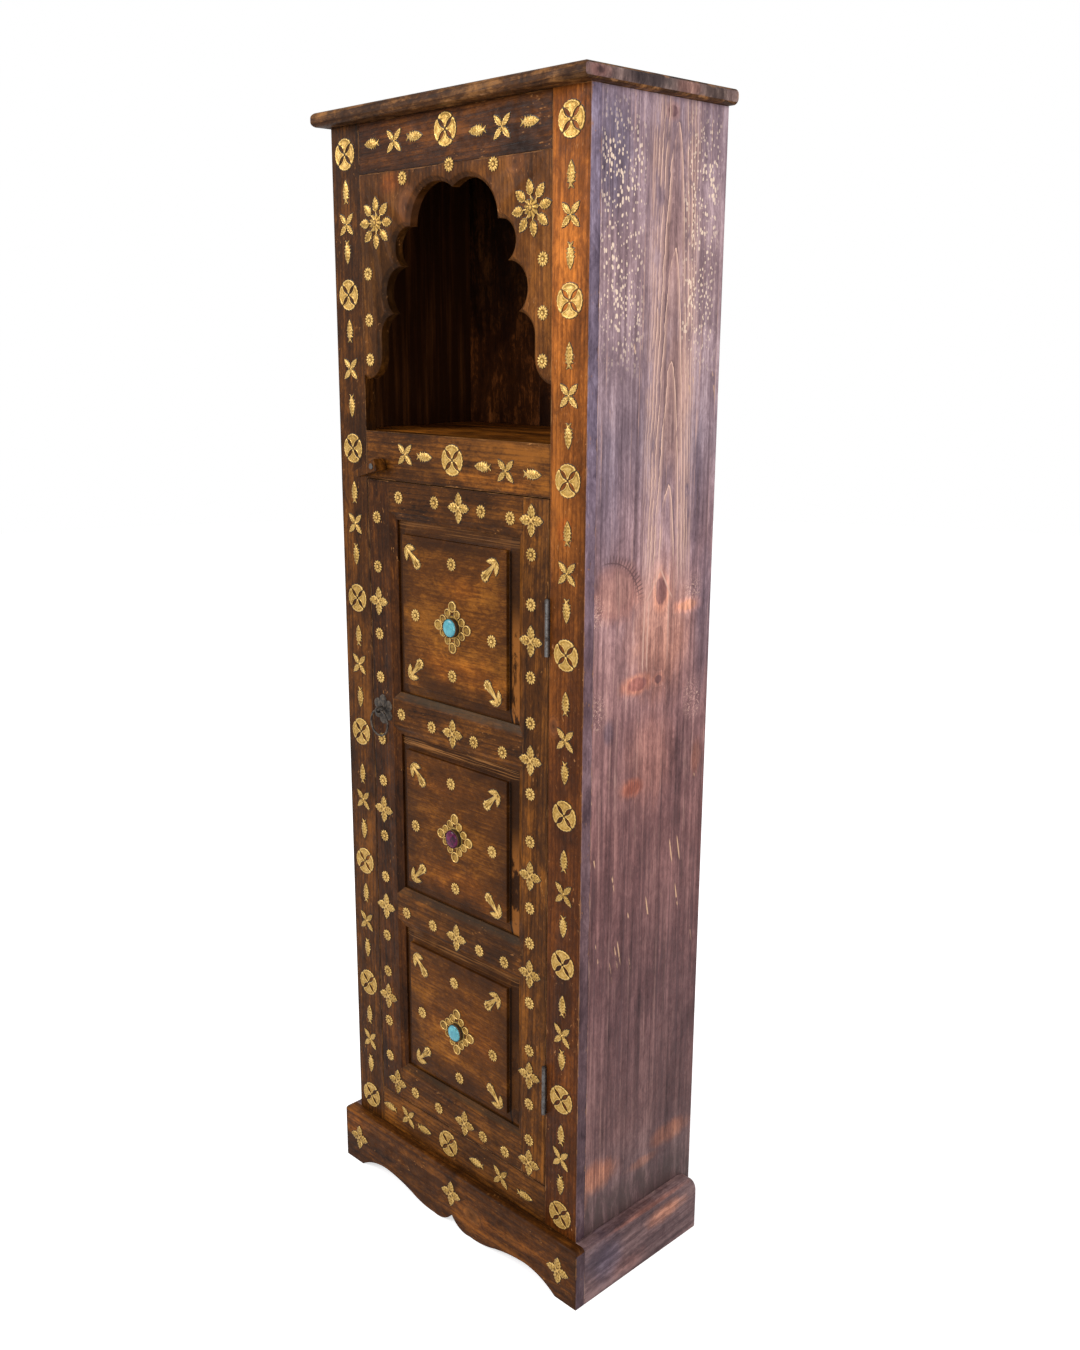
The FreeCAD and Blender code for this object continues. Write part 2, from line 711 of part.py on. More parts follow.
def hinge_leaf(name, owner, low_z, spans):
    """One leaf with its knuckles; the leaf's outer face is flush with its stile's edge."""
    label = f"{name}_{owner}_leaf"
    leaf_x = opening_half if owner == "frame" else f"({door_half} - leaf_thickness)"
    seat = block(label + "_plate", (leaf_x, front_y, low_z), ("leaf_thickness", "leaf_width", "hinge_height"))
    stile_cuts[owner].append(seat)
    solids = [seat]
    for index, (start, end) in enumerate(spans):
        bottom = f"({low_z} + {start})"
        length = f"({end}) - ({start})"
        solids.append(block(f"{label}_strap_{index}", (leaf_x, hinge_y, bottom),
                            ("leaf_thickness", "knuckle_proud", length)))
        solids.append(rod(f"{label}_knuckle_{index}", (hinge_x, hinge_y, bottom), "knuckle_radius", length, "z"))
    tools = [rod(label + "_bore", (hinge_x, hinge_y, f"{low_z} - overrun"),
                 "hinge_pin_radius + hinge_pin_clearance", "hinge_height + 2 * overrun", "z")]
    outward = "x" if owner == "frame" else "-x"
    face_x = opening_half if owner == "frame" else door_half
    for index in (-1, 0, 1):
        spot = (face_x, screw_y, f"{low_z} + hinge_height / 2 + {index} * screw_spacing")
        title = f"{label}_screw_{index + 2}"
        head = taper(title + "_head", spot, "screw_head_radius", "screw_radius", "leaf_thickness", outward)
        shank = rod(title + "_shank", spot, "screw_radius", "screw_length", outward)
        hinge_screws[owner].append(fuse(title, [head, shank]))
        wide = "screw_radius + screw_clearance"
        tools.append(taper(title + "_sink", spot, "screw_head_radius + screw_clearance", wide,
                           "leaf_thickness", outward))
        pilot = rod(title + "_pilot", spot, wide, "screw_length + screw_clearance", outward)
        tools.append(pilot)
        stile_cuts[owner].append(pilot)
    keep(cut(label, fuse(label + "_blank", solids), tools))


for name, low_z in hinge_rows:
    third = "hinge_height / 3"
    play = "knuckle_gap / 2"
    outer_spans = (("0", f"{third} - {play}"), (f"2 * {third} + {play}", "hinge_height"))
    hinge_leaf(name, "frame", low_z, outer_spans)
    hinge_leaf(name, "door", low_z, ((f"{third} + {play}", f"2 * {third} - {play}"),))
    shank = rod(name + "_pin_shank", (hinge_x, hinge_y, low_z), "hinge_pin_radius", "hinge_height", "z")
    head = rod(name + "_pin_head", (hinge_x, hinge_y, f"{low_z} + hinge_height"),
               "hinge_head_radius", "hinge_head_height", "z")
    keep(fuse(name + "_pin", [shank, head]))

keep(group("frame_hinge_screws", hinge_screws["frame"]))
keep(group("door_hinge_screws", hinge_screws["door"]))

stile_blank = block("frame_right_stile_blank", (opening_half, front_y, "carcass_lift"),
                    ("stile_width", "frame_thickness", carcass_height))
keep(cut("frame_right_stile", stile_blank, stile_cuts["frame"]))
keep(cut("door_right_stile", door_stile("door_right_stile_blank", 1), stile_cuts["door"]))

# Turn button on its nail, with a washer that lifts it clear of the brass. It stands turned aside, far enough
# for the lower corner of its tip to clear the door

pivot_x = f"(button_pivot_side - {opening_half})"
pivot_z = f"({middle_rail_bottom} + button_pivot_rise)"
button_back_y = f"({front_y} - washer_thickness)"
button_front_y = f"({button_back_y} - button_thickness)"
tip_reach = "(button_length - button_pivot_inset)"
tip_corner_reach = f"hypot({tip_reach}; button_tip_width / 2)"
tip_drop = "(button_pivot_rise + door_gap - button_door_clearance)"
button_tilt = f"atan2(button_tip_width / 2; {tip_reach}) + acos(min(1; {tip_drop} / {tip_corner_reach}))"
turn_button = new_body("turn_button", (pivot_x, button_back_y, pivot_z))
turn_button.Placement = FreeCAD.Placement(FreeCAD.Vector(), FreeCAD.Rotation(FreeCAD.Vector(0, 1, 0), 1))
turn_button.setExpression("Placement.Rotation.Angle", full(button_tilt))
button_sketch = new_sketch(turn_button, "XZ_Plane")
draw_polygon(button_sketch, (
    ("-button_top_width / 2", "button_pivot_inset"),
    ("-button_tip_width / 2", "button_pivot_inset - button_length"),
    ("button_tip_width / 2", "button_pivot_inset - button_length"),
    ("button_top_width / 2", "button_pivot_inset"),
))
button_pad = add_pad(turn_button, button_sketch, "button_thickness")
add_fillet(turn_button, button_pad, "button_corner_round", lambda edge: close(
    edge.BoundBox.XLength + edge.BoundBox.ZLength, 0))
eye_sketch = new_sketch(turn_button, "XZ_Plane")
eye_sketch.addGeometry(Part.Circle(FreeCAD.Vector(), FreeCAD.Vector(0, 0, 1), value("nail_radius")), False)
eye_sketch.addConstraint(Sketcher.Constraint("Coincident", 0, 3, -1, 1))
eye_sketch.addConstraint(Sketcher.Constraint("Radius", 0, value("nail_radius")))
eye_sketch.setExpression("Constraints[1]", full("nail_radius + nail_clearance"))
add_pocket(turn_button, eye_sketch)
keep(turn_button)

nail_hole = "nail_radius + nail_clearance"
washer_spot = (pivot_x, button_back_y, pivot_z)
washer_blank = rod("button_washer_blank", washer_spot, "washer_radius", "washer_thickness", "y")
washer_eye = rod("button_washer_eye", washer_spot, nail_hole, "washer_thickness", "y")
keep(cut("button_washer", washer_blank, [washer_eye]))

nail_spot = (pivot_x, button_front_y, pivot_z)
nail_length = "(button_thickness + washer_thickness + nail_grip)"
nail_shank = rod("button_nail_shank", nail_spot, "nail_radius", nail_length, "y")
nail_head = rod("button_nail_head", nail_spot, "nail_head_radius", "nail_head_height", "-y")
keep(fuse("button_nail", [nail_shank, nail_head]))

rail_blank = block("frame_middle_rail_blank", (f"-{opening_half}", front_y, middle_rail_bottom),
                   (rail_width, "frame_thickness", "middle_rail_height"))
rail_pilot = rod("frame_middle_rail_pilot", (pivot_x, front_y, pivot_z), "nail_radius + fastener_clearance",
                 "nail_grip + fastener_clearance", "y")
keep(cut("frame_middle_rail", rail_blank, [rail_pilot]))

# Ring pull: a six-lobed plate, a bent staple through it into the door's stile, and the ring that hangs in it


def radial_arcs(count, pitch, radius):
    """The outline of equal round lobes whose middles stand on a circle."""
    half_step = math.pi / count
    valley = pitch * math.cos(half_step) + math.sqrt(radius**2 - (pitch * math.sin(half_step)) ** 2)
    peak = pitch + radius
    curves = []
    for index in range(count):
        middle = 2 * half_step * index
        spots = ((valley, middle - half_step), (peak, middle), (valley, middle + half_step))
        curves.append(Part.Arc(*(flat((far * math.sin(way), far * math.cos(way))) for far, way in spots)))
    return curves


pull_x = f"(pull_side_inset - {door_half})"
pull_z = f"({upper_rail_bottom} + door_cross_rail_height / 2)"
plate_body = new_body("pull_plate_blank", (pull_x, front_y, pull_z))
plate_sketch = new_sketch(plate_body, "XZ_Plane")
draw_curves(plate_sketch, radial_arcs(6, value("pull_lobe_pitch"), value("pull_lobe_radius")))
add_pad(plate_body, plate_sketch, "pull_plate_thickness")

# The ring's wire rests just above the staple's lower leg
lower_leg_z = f"({pull_z} - ring_wire_radius - staple_radius - ring_clearance)"
upper_leg_z = f"({lower_leg_z} + 2 * staple_bend_radius)"
bend_y = f"({front_y} - staple_reach)"
legs = []
leg_holes = []
for name, leg_z in (("lower", lower_leg_z), ("upper", upper_leg_z)):
    legs.append(rod(f"pull_staple_{name}_leg", (pull_x, bend_y, leg_z), "staple_radius",
                    "staple_reach + staple_grip", "y"))
    leg_holes.append(rod(f"pull_staple_{name}_hole", (pull_x, bend_y, leg_z),
                         "staple_radius + fastener_clearance",
                         "staple_reach + staple_grip + fastener_clearance", "y"))
bend = doc.addObject("Part::Torus", "pull_staple_bend")
upright = FreeCAD.Vector(0, 0, 1)
bend.Placement = FreeCAD.Placement(FreeCAD.Vector(), FreeCAD.Rotation(
    upright, FreeCAD.Vector(0, -1, 0), FreeCAD.Vector(1, 0, 0), "ZXY"))
bend.Angle3 = 180
bend.setExpression("Radius1", full("staple_bend_radius"))
bend.setExpression("Radius2", full("staple_radius"))
place(bend, (pull_x, bend_y, f"{lower_leg_z} + staple_bend_radius"))
keep(fuse("pull_staple", legs + [bend]))
keep(cut("pull_plate", plate_body, leg_holes))
keep(cut("door_left_stile", left_stile_blank, leg_holes))

pull_ring = doc.addObject("Part::Torus", "pull_ring")
pull_ring.Placement = FreeCAD.Placement(FreeCAD.Vector(), axis_turn("y"))
pull_ring.setExpression("Radius1", full("ring_radius"))
pull_ring.setExpression("Radius2", full("ring_wire_radius"))
place(pull_ring, (pull_x, f"{front_y} - ring_stand_off", f"{pull_z} - ring_radius"))
keep(pull_ring)

# Brass ornaments, each a thin plate in the plane y = 0 about the origin, its back on that plane

brass = value("ornament_thickness")


def upright_point(across, up):
    """A point of a plate's outline."""
    return FreeCAD.Vector(across, 0, up)


def turned(shape, angle, spot=(0, 0, 0)):
    """A copy turned clockwise, as seen from the front, and put at a spot."""
    turn = FreeCAD.Rotation(FreeCAD.Vector(0, 1, 0), angle)
    other = shape.copy()
    other.Placement = FreeCAD.Placement(FreeCAD.Vector(*spot), turn) * other.Placement
    return other


def plate_of(faces):
    """Faces joined and given the brass's thickness, towards the front."""
    whole = faces[0].fuse(faces[1:]).removeSplitter() if len(faces) > 1 else faces[0]
    return whole.extrude(FreeCAD.Vector(0, -brass, 0))


def round_face(radius, across=0, up=0):
    """A flat disc."""
    circle = Part.Circle(upright_point(across, up), FreeCAD.Vector(0, -1, 0), radius)
    return Part.Face(Part.Wire(circle.toShape()))


def leaf_face(start, end, width):
    """A leaf pointing up, between two arcs."""
    middle = (start + end) / 2
    tips = upright_point(0, start), upright_point(0, end)
    arcs = [Part.Arc(tips[0], upright_point(side * width / 2, middle), tips[1]) for side in (1, -1)]
    return Part.Face(Part.Wire([arc.toShape() for arc in arcs]))


def polygon_face(points):
    """A flat plate's outline from its corners."""
    ring = [upright_point(*point) for point in points]
    return Part.Face(Part.makePolygon(ring + ring[:1]))


def lobed_face(count, pitch, radius):
    """A disc with equal round lobes."""
    wire = Part.Wire([curve.toShape() for curve in radial_arcs(count, pitch, radius)])
    wire.rotate(FreeCAD.Vector(), FreeCAD.Vector(1, 0, 0), 90)
    return Part.Face(wire)


def spun(shape, count, start=0):
    """Copies turned evenly about the origin."""
    return [turned(shape, start + 360 / count * index) for index in range(count)]


def mirrored_outline(half_shares, half_across, half_up):
    """A closed outline from the right half's shares of half a width and half a length."""
    right = [(across * half_across, up * half_up) for across, up in half_shares]
    left = [(-across, up) for across, up in reversed(right) if across > 0]
    return right + left


# A disc in four fans, parted by lens-shaped slits on the diagonals
slit = leaf_face(value("disc_hub_radius"), value("disc_radius + disc_slit_width"), value("disc_slit_width"))
disc_face = round_face(value("disc_radius"))
for each in spun(slit, 4, 45):
    disc_face = disc_face.cut(each)
disc_plate = plate_of([disc_face])

# A fish with its head up: nose, two fins on each side, tail
fish_shares = (
    (0, 1), (0.5, 0.76), (0.78, 0.5), (0.84, 0.3), (0.66, 0.2), (1, 0.06), (0.68, -0.06), (0.94, -0.22),
    (0.56, -0.3), (0.44, -0.5), (0.32, -0.62), (0.6, -0.78), (0.9, -1), (0, -0.9),
)
fish_outline = mirrored_outline(fish_shares, value("fish_width / 2"), value("fish_length / 2"))
fish_plate = plate_of([polygon_face(fish_outline)])

# A cross of four leaves on the diagonals, and a star of four broad leaves upright
cross_leaf = leaf_face(0, value("cross_reach"), value("cross_leaf_width"))
cross_plate = plate_of([round_face(value("cross_hub_radius"))] + spun(cross_leaf, 4, 45))
star_leaf = leaf_face(0, value("star_reach"), value("star_leaf_width"))
star_plate = plate_of([round_face(value("star_hub_radius"))] + spun(star_leaf, 4))

rosette_pitch = value("rosette_radius - rosette_petal_radius")
rosette_plate = plate_of([lobed_face(9, rosette_pitch, value("rosette_petal_radius"))])

petal_ends = (value("sunflower_petal_start"), value("sunflower_reach"))
petal = plate_of([leaf_face(*petal_ends, value("sunflower_petal_width"))])
boss_pitch = value("sunflower_boss_radius - sunflower_tooth_radius")
sunflower_boss = plate_of([lobed_face(11, boss_pitch, value("sunflower_tooth_radius"))])

# A tulip with its two leaves up and its three-lobed bell down
tulip_shares = (
    (0, 0.86), (0.24, 0.78), (0.58, 0.58), (0.86, 0.26), (1, -0.02), (0.66, 0.14), (0.4, 0.34), (0.16, 0.46),
    (0.16, 0.1), (0.24, -0.2), (0.42, -0.5), (0.54, -0.72), (0.46, -0.92), (0.3, -0.84), (0.16, -1), (0, -0.94),
)
tulip_outline = mirrored_outline(tulip_shares, value("tulip_width / 2"), value("tulip_length / 2"))
tulip_plate = plate_of([polygon_face(tulip_outline)])

# The flower under a stone: a round setting, four large loops and a pair of small ones beside each
loops = [round_face(value("setting_radius"))]
loops += spun(round_face(value("large_loop_radius"), 0, value("large_loop_pitch")), 4)
small_loop = round_face(value("small_loop_radius"), 0, value("small_loop_pitch"))
for side in (1, -1):
    loops += spun(small_loop, 4, side * value("small_loop_turn"))
flower_plate = plate_of(loops)

# A domed stone, flat at the back
dome_radius = value("(stone_radius * stone_radius + stone_height * stone_height) / (2 * stone_height)")
dome = Part.makeSphere(dome_radius, FreeCAD.Vector(0, dome_radius - value("stone_height"), 0))
room = 2 * dome_radius
keeper = Part.makeBox(room, room, room, FreeCAD.Vector(-dome_radius, -room, -dome_radius))
stone_shape = dome.common(keeper)


def ornaments(label, shape, spots):
    """One file of equal ornaments, each at (across, front, up, turn)."""
    thing = doc.addObject("Part::Feature", label)
    copies = [turned(shape, turn, (across, front, up)) for across, front, up, turn in spots]
    thing.Shape = Part.makeCompound(copies)
    return keep(thing)


frame_face = value(front_y)
plinth_face = value(f"{front_y} - plinth_thickness")
panel_face = value(f"{front_y} - panel_proud")
rail_half = value(opening_half)
column_x = value(f"{opening_half} + stile_width / 2")

# Every ornament is nailed on by eye, so each has its own share.
# Columns on the two stiles: discs at shares of the way from the lowest to the highest, and between each pair a
# fish head up, a cross and a fish head down, at shares of the way down
disc_shares = {
    -1: (1, 0.872, 0.725, 0.573, 0.43, 0.284, 0.14, 0),
    1: (1, 0.861, 0.714, 0.562, 0.413, 0.266, 0.125, -0.002),
}
between_disc_shares = {
    -1: ((0.262, 0.492, 0.69), (0.229, 0.475, 0.717), (0.287, 0.495, 0.702), (0.274, 0.488, 0.737),
         (0.319, 0.519, 0.747), (0.256, 0.488, 0.71), (0.279, 0.5, 0.715)),
    1: ((0.297, 0.518, 0.747), (0.298, 0.519, 0.745), (0.295, 0.523, 0.739), (0.295, 0.52, 0.727),
        (0.297, 0.518, 0.738), (0.3, 0.517, 0.7), (0.301, 0.506, 0.735)),
}
top_disc_z = value(f"{carcass_top} - top_disc_drop")
bottom_disc_z = value("plinth_height + bottom_disc_rise")
discs = []
fishes = []
crosses = []
for side, shares in disc_shares.items():
    across = side * column_x
    heights = [bottom_disc_z + share * (top_disc_z - bottom_disc_z) for share in shares]
    discs += [(across, frame_face, height, 0) for height in heights]
    for above, below, between_shares in zip(heights, heights[1:], between_disc_shares[side]):
        first, middle, last = [above + share * (below - above) for share in between_shares]
        fishes += [(across, frame_face, first, 0), (across, frame_face, last, 180)]
        crosses.append((across, frame_face, middle, 0))

# Rows on the three rails, from left to right, as shares of half the opening and of the rail's seen height
row_shares = {
    "top": (("fish left", -0.84, 0.571), ("cross", -0.584, 0.558), ("fish right", -0.36, 0.585),
            ("disc", -0.03, 0.62), ("fish left", 0.295, 0.503), ("cross", 0.535, 0.503),
            ("fish right", 0.795, 0.516)),
    "middle": (("cross", -0.53, 0.565), ("fish right", -0.307, 0.551), ("disc", 0.005, 0.538),
               ("fish left", 0.33, 0.47), ("cross", 0.565, 0.43), ("fish right", 0.83, 0.416)),
    "bottom": (("fish left", -0.905, 0.53), ("cross", -0.658, 0.545), ("fish right", -0.445, 0.47),
               ("disc", -0.135, 0.515), ("fish left", 0.21, 0.47), ("cross", 0.5, 0.5),
               ("fish right", 0.777, 0.4)),
}
row_spans = {
    "top": (top_rail_bottom, "top_rail_height"),
    "middle": (middle_rail_bottom, "middle_rail_height"),
    "bottom": ("plinth_height", "(door_sill_height - plinth_height)"),
}
head_turns = {"fish left": -90, "fish right": 90}
for rail, marks in row_shares.items():
    low, height = row_spans[rail]
    for kind, share, rise_share in marks:
        spot = (share * rail_half, frame_face, value(f"{low} + {height} * {rise_share}"))
        if kind == "disc":
            discs.append(spot + (0,))
        elif kind == "cross":
            crosses.append(spot + (0,))
        else:
            fishes.append(spot + (head_turns[kind],))

ornaments("frame_discs", disc_plate, discs)
ornaments("frame_fish", fish_plate, fishes)
ornaments("frame_crosses", cross_plate, crosses)

# Arch board: three rosettes over the arch and three down each side, as shares of half the opening, and two
# sunflowers
rail_bottom_z = value(top_rail_bottom)
side_rosette_x = value(f"{opening_half} - arch_rosette_inset")
over_arch_shares = ((-0.5, 0.058), (0.005, 0.01), (0.45, 0.045))
beside_arch_drop_shares = {-1: (0.707, 1.044, 1.336), 1: (0.672, 1.014, 1.326)}
arch_rosettes = [(rail_half * across, frame_face, rail_bottom_z - rail_half * drop, 0)
                 for across, drop in over_arch_shares]
for side, shares in beside_arch_drop_shares.items():
    arch_rosettes += [(side * side_rosette_x, frame_face, rail_bottom_z - rail_half * share, 0)
                      for share in shares]
ornaments("arch_rosettes", rosette_plate, arch_rosettes)

sunflower_parts = []
sunflower_x = rail_half - value("sunflower_inset")
for side in (-1, 1):
    spot = (side * sunflower_x, frame_face, rail_bottom_z - value("sunflower_drop"))
    sunflower_parts += [turned(each, 0, spot) for each in spun(petal, 8) + [sunflower_boss]]
arch_sunflowers = doc.addObject("Part::Feature", "arch_sunflowers")
arch_sunflowers.Shape = Part.makeCompound(sunflower_parts)
keep(arch_sunflowers)

plinth_star_x = value(f"{plinth_half} - plinth_star_inset")
plinth_stars = [(side * plinth_star_x, plinth_face, value("plinth_star_rise"), 0) for side in (-1, 1)]
plinth_stars.append((0, plinth_face, value("plinth_middle_star_rise"), 0))
ornaments("plinth_stars", star_plate, plinth_stars)

# Door: stars down each stile at the rails and beside the middle of each panel, two rosettes between each pair.
# The button covers the place of the top left star, and the pull another
door_stars = []
door_rosettes = []
star_rise_shares = {
    -1: (0.5, 0.518, 0.47, 0.481, 0.351, 0.446, 0.39),
    1: (0.467, 0.479, 0.358, 0.419, 0.323, 0.42, 0.35),
}
star_spans = (
    (f"{door_top} - door_top_rail_height", "door_top_rail_height"),
    (upper_panel_bottom, upper_panel_height),
    (upper_rail_bottom, "door_cross_rail_height"),
    (middle_panel_bottom, middle_panel_height),
    (lower_rail_bottom, "door_cross_rail_height"),
    (lower_panel_bottom, lower_panel_height),
    (door_bottom, "door_bottom_rail_height"),
)
stile_face_width = value("door_stile_width - door_bevel_width")
column_shares = {-1: 0.41, 1: 0.68}
missing_stars = {-1: (0, 2, 6), 1: ()}
between_star_shares = {
    -1: ((0.056, 0.722), (0.228, 0.76), (0.211, 0.782), (0.188, 0.761), (0.254, 0.802), (0.215, 0.816)),
    1: ((0.2, 0.765), (0.233, 0.747), (0.216, 0.767), (0.256, 0.756), (0.205, 0.841), (0.25, 0.838)),
}
star_reach = value("star_reach")
for side, share in column_shares.items():
    across = side * (value(door_half) - share * stile_face_width)
    heights = [value(f"{low} + {height} * {rise_share}")
               for (low, height), rise_share in zip(star_spans, star_rise_shares[side])]
    door_stars += [(across, frame_face, height, 0) for index, height in enumerate(heights)
                   if index not in missing_stars[side]]
    for above, below, ways in zip(heights, heights[1:], between_star_shares[side]):
        clear = above - below - 2 * star_reach
        door_rosettes += [(across, frame_face, above - star_reach - way * clear, 0) for way in ways]

# Rails, at shares of half the face between the stiles and of the rail's height: a star near the middle, two
# rosettes on each side of it, and a second star in the lower left corner
door_row_shares = {
    0: (("rosette", -0.833, 0.6), ("rosette", -0.271, 0.583), ("star", 0.093, 0.533),
        ("rosette", 0.417, 0.517), ("rosette", 0.824, 0.45)),
    2: (("rosette", -0.859, 0.5), ("rosette", -0.362, 0.415), ("star", -0.033, 0.415),
        ("rosette", 0.291, 0.373), ("rosette", 0.713, 0.345)),
    4: (("rosette", -0.84, 0.409), ("rosette", -0.393, 0.395), ("star", -0.007, 0.37),
        ("rosette", 0.353, 0.315), ("rosette", 0.733, 0.315)),
    6: (("star", -1.067, 0.39), ("rosette", -0.75, 0.364), ("rosette", -0.339, 0.336),
        ("star", 0.097, 0.35), ("rosette", 0.395, 0.29), ("rosette", 0.74, 0.245)),
}
face_half = value(f"{door_inner} + door_bevel_width")
for index, marks in door_row_shares.items():
    low, height = star_spans[index]
    for kind, share, rise_share in marks:
        group = door_stars if kind == "star" else door_rosettes
        group.append((share * face_half, frame_face, value(f"{low} + {height} * {rise_share}"), 0))
ornaments("door_stars", star_plate, door_stars)
ornaments("door_rosettes", rosette_plate, door_rosettes)

# Panels, from the upper to the lower: a stone on its flower near the middle, a rosette towards each side, as
# shares of the raised field's half width and half height, and a tulip in each corner, at shares of its inset
flower_rise_shares = (-0.092, -0.061, -0.1)
panel_rosette_shares = (
    ((-0.74, -0.04), (-0.01, 0.713), (-0.015, -0.735), (0.74, -0.157)),
    ((-0.817, -0.103), (-0.068, 0.709), (0, -0.81), (0.732, -0.05)),
    ((-0.749, -0.089), (-0.05, 0.678), (0.043, -0.855), (0.732, -0.17)),
)
tulip_corners = ((-1, 1), (-1, -1), (1, 1), (1, -1))
tulip_inset_shares = (
    ((0.79, 1.03), (0.9, 0.86), (1.07, 1.03), (0.9, 0.66)),
    ((0.93, 1.17), (0.83, 0.66), (1, 1.17), (0.9, 0.6)),
    ((0.83, 1.03), (1, 0.66), (1, 1.1), (0.83, 0.6)),
)
tulip_leans = {1: 45, -1: 135}
tulips = []
panel_rosettes = []
flowers = []
field_half = value(f"{door_inner} - panel_border")
inset = value("tulip_inset")
for row, (label, low, height) in enumerate(panel_rows):
    middle = value(f"{low} + ({height}) / 2")
    field_up = value(f"({height}) / 2 - panel_border")
    flowers.append((0, panel_face, middle + flower_rise_shares[row] * field_up, 0))
    panel_rosettes += [(share * field_half, panel_face, middle + rise_share * field_up, 0)
                       for share, rise_share in panel_rosette_shares[row]]
    for (side, way), (share, rise_share) in zip(tulip_corners, tulip_inset_shares[row]):
        across = side * (field_half - share * inset)
        tulips.append((across, panel_face, middle + way * (field_up - rise_share * inset),
                       side * tulip_leans[way]))
ornaments("panel_tulips", tulip_plate, tulips)
ornaments("panel_rosettes", rosette_plate, panel_rosettes)
ornaments("stone_flowers", flower_plate, flowers)
stones = [(across, front - brass, height, turn) for across, front, height, turn in flowers]
ornaments("turquoise_stones", stone_shape, [stones[0], stones[2]])
ornaments("garnet_stone", stone_shape, stones[1:2])

# Check and write

doc.recompute()
for thing in doc.Objects:
    if {"Invalid", "Error"} & set(thing.State):
        raise RuntimeError(f"{thing.Label} did not compute: {thing.State}")
for label, thing in pieces.items():
    shape = thing.Shape
    if shape.isNull() or not shape.isValid() or not shape.Solids:
        raise RuntimeError(f"{label} has no sound solid")

os.makedirs("parts", exist_ok=True)
for label, thing in sorted(pieces.items()):
    thing.Shape.exportStep(f"parts/{label}.step")
    print(f"{label}: {len(thing.Shape.Solids)} solids, {thing.Shape.Volume / 1000:.1f} cm3")
print(f"{len(pieces)} files")
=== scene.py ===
# Looks for the tall niche cupboard: stained pine boards, brass ornaments, domed stones, iron and steel fittings
import json
import math

import bmesh
import bpy
import numpy as np
from mathutils import Matrix, Vector

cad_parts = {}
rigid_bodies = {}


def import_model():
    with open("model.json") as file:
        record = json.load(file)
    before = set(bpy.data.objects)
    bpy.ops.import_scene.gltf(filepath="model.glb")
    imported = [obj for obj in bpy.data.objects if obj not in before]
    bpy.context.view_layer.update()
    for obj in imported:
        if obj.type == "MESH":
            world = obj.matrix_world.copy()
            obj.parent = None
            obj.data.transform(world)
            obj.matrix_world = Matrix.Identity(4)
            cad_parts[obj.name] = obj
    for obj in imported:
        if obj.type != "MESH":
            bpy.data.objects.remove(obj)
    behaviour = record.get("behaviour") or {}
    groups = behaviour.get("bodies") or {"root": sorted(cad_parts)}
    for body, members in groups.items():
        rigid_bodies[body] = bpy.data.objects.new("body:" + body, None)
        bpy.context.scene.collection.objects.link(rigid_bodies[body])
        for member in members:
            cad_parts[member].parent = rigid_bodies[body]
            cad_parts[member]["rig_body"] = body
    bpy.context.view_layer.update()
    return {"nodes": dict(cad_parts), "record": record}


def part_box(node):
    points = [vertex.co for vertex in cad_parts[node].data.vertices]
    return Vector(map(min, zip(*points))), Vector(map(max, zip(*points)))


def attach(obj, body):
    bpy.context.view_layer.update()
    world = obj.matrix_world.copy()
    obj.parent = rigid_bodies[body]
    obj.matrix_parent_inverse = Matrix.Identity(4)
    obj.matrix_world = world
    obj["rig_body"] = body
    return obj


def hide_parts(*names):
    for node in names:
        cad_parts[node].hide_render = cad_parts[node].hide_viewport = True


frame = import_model()
cadNodes = frame["nodes"]
mm = 0.001
tall = 1.8
print("loaded", len(cadNodes), "pieces")


class Wire:
    # A node's output. Sums, products and shares of wires add the nodes that work them out
    def __init__(self, graph, socket):
        self.graph, self.socket = graph, socket

    def __add__(self, other):
        return self.graph.math("ADD", self, other)

    def __radd__(self, other):
        return self.graph.math("ADD", other, self)

    def __sub__(self, other):
        return self.graph.math("SUBTRACT", self, other)

    def __rsub__(self, other):
        return self.graph.math("SUBTRACT", other, self)

    def __mul__(self, other):
        return self.graph.math("MULTIPLY", self, other)

    def __truediv__(self, other):
        return self.graph.math("DIVIDE", self, other)

    def __abs__(self):
        return self.graph.math("ABSOLUTE", self)


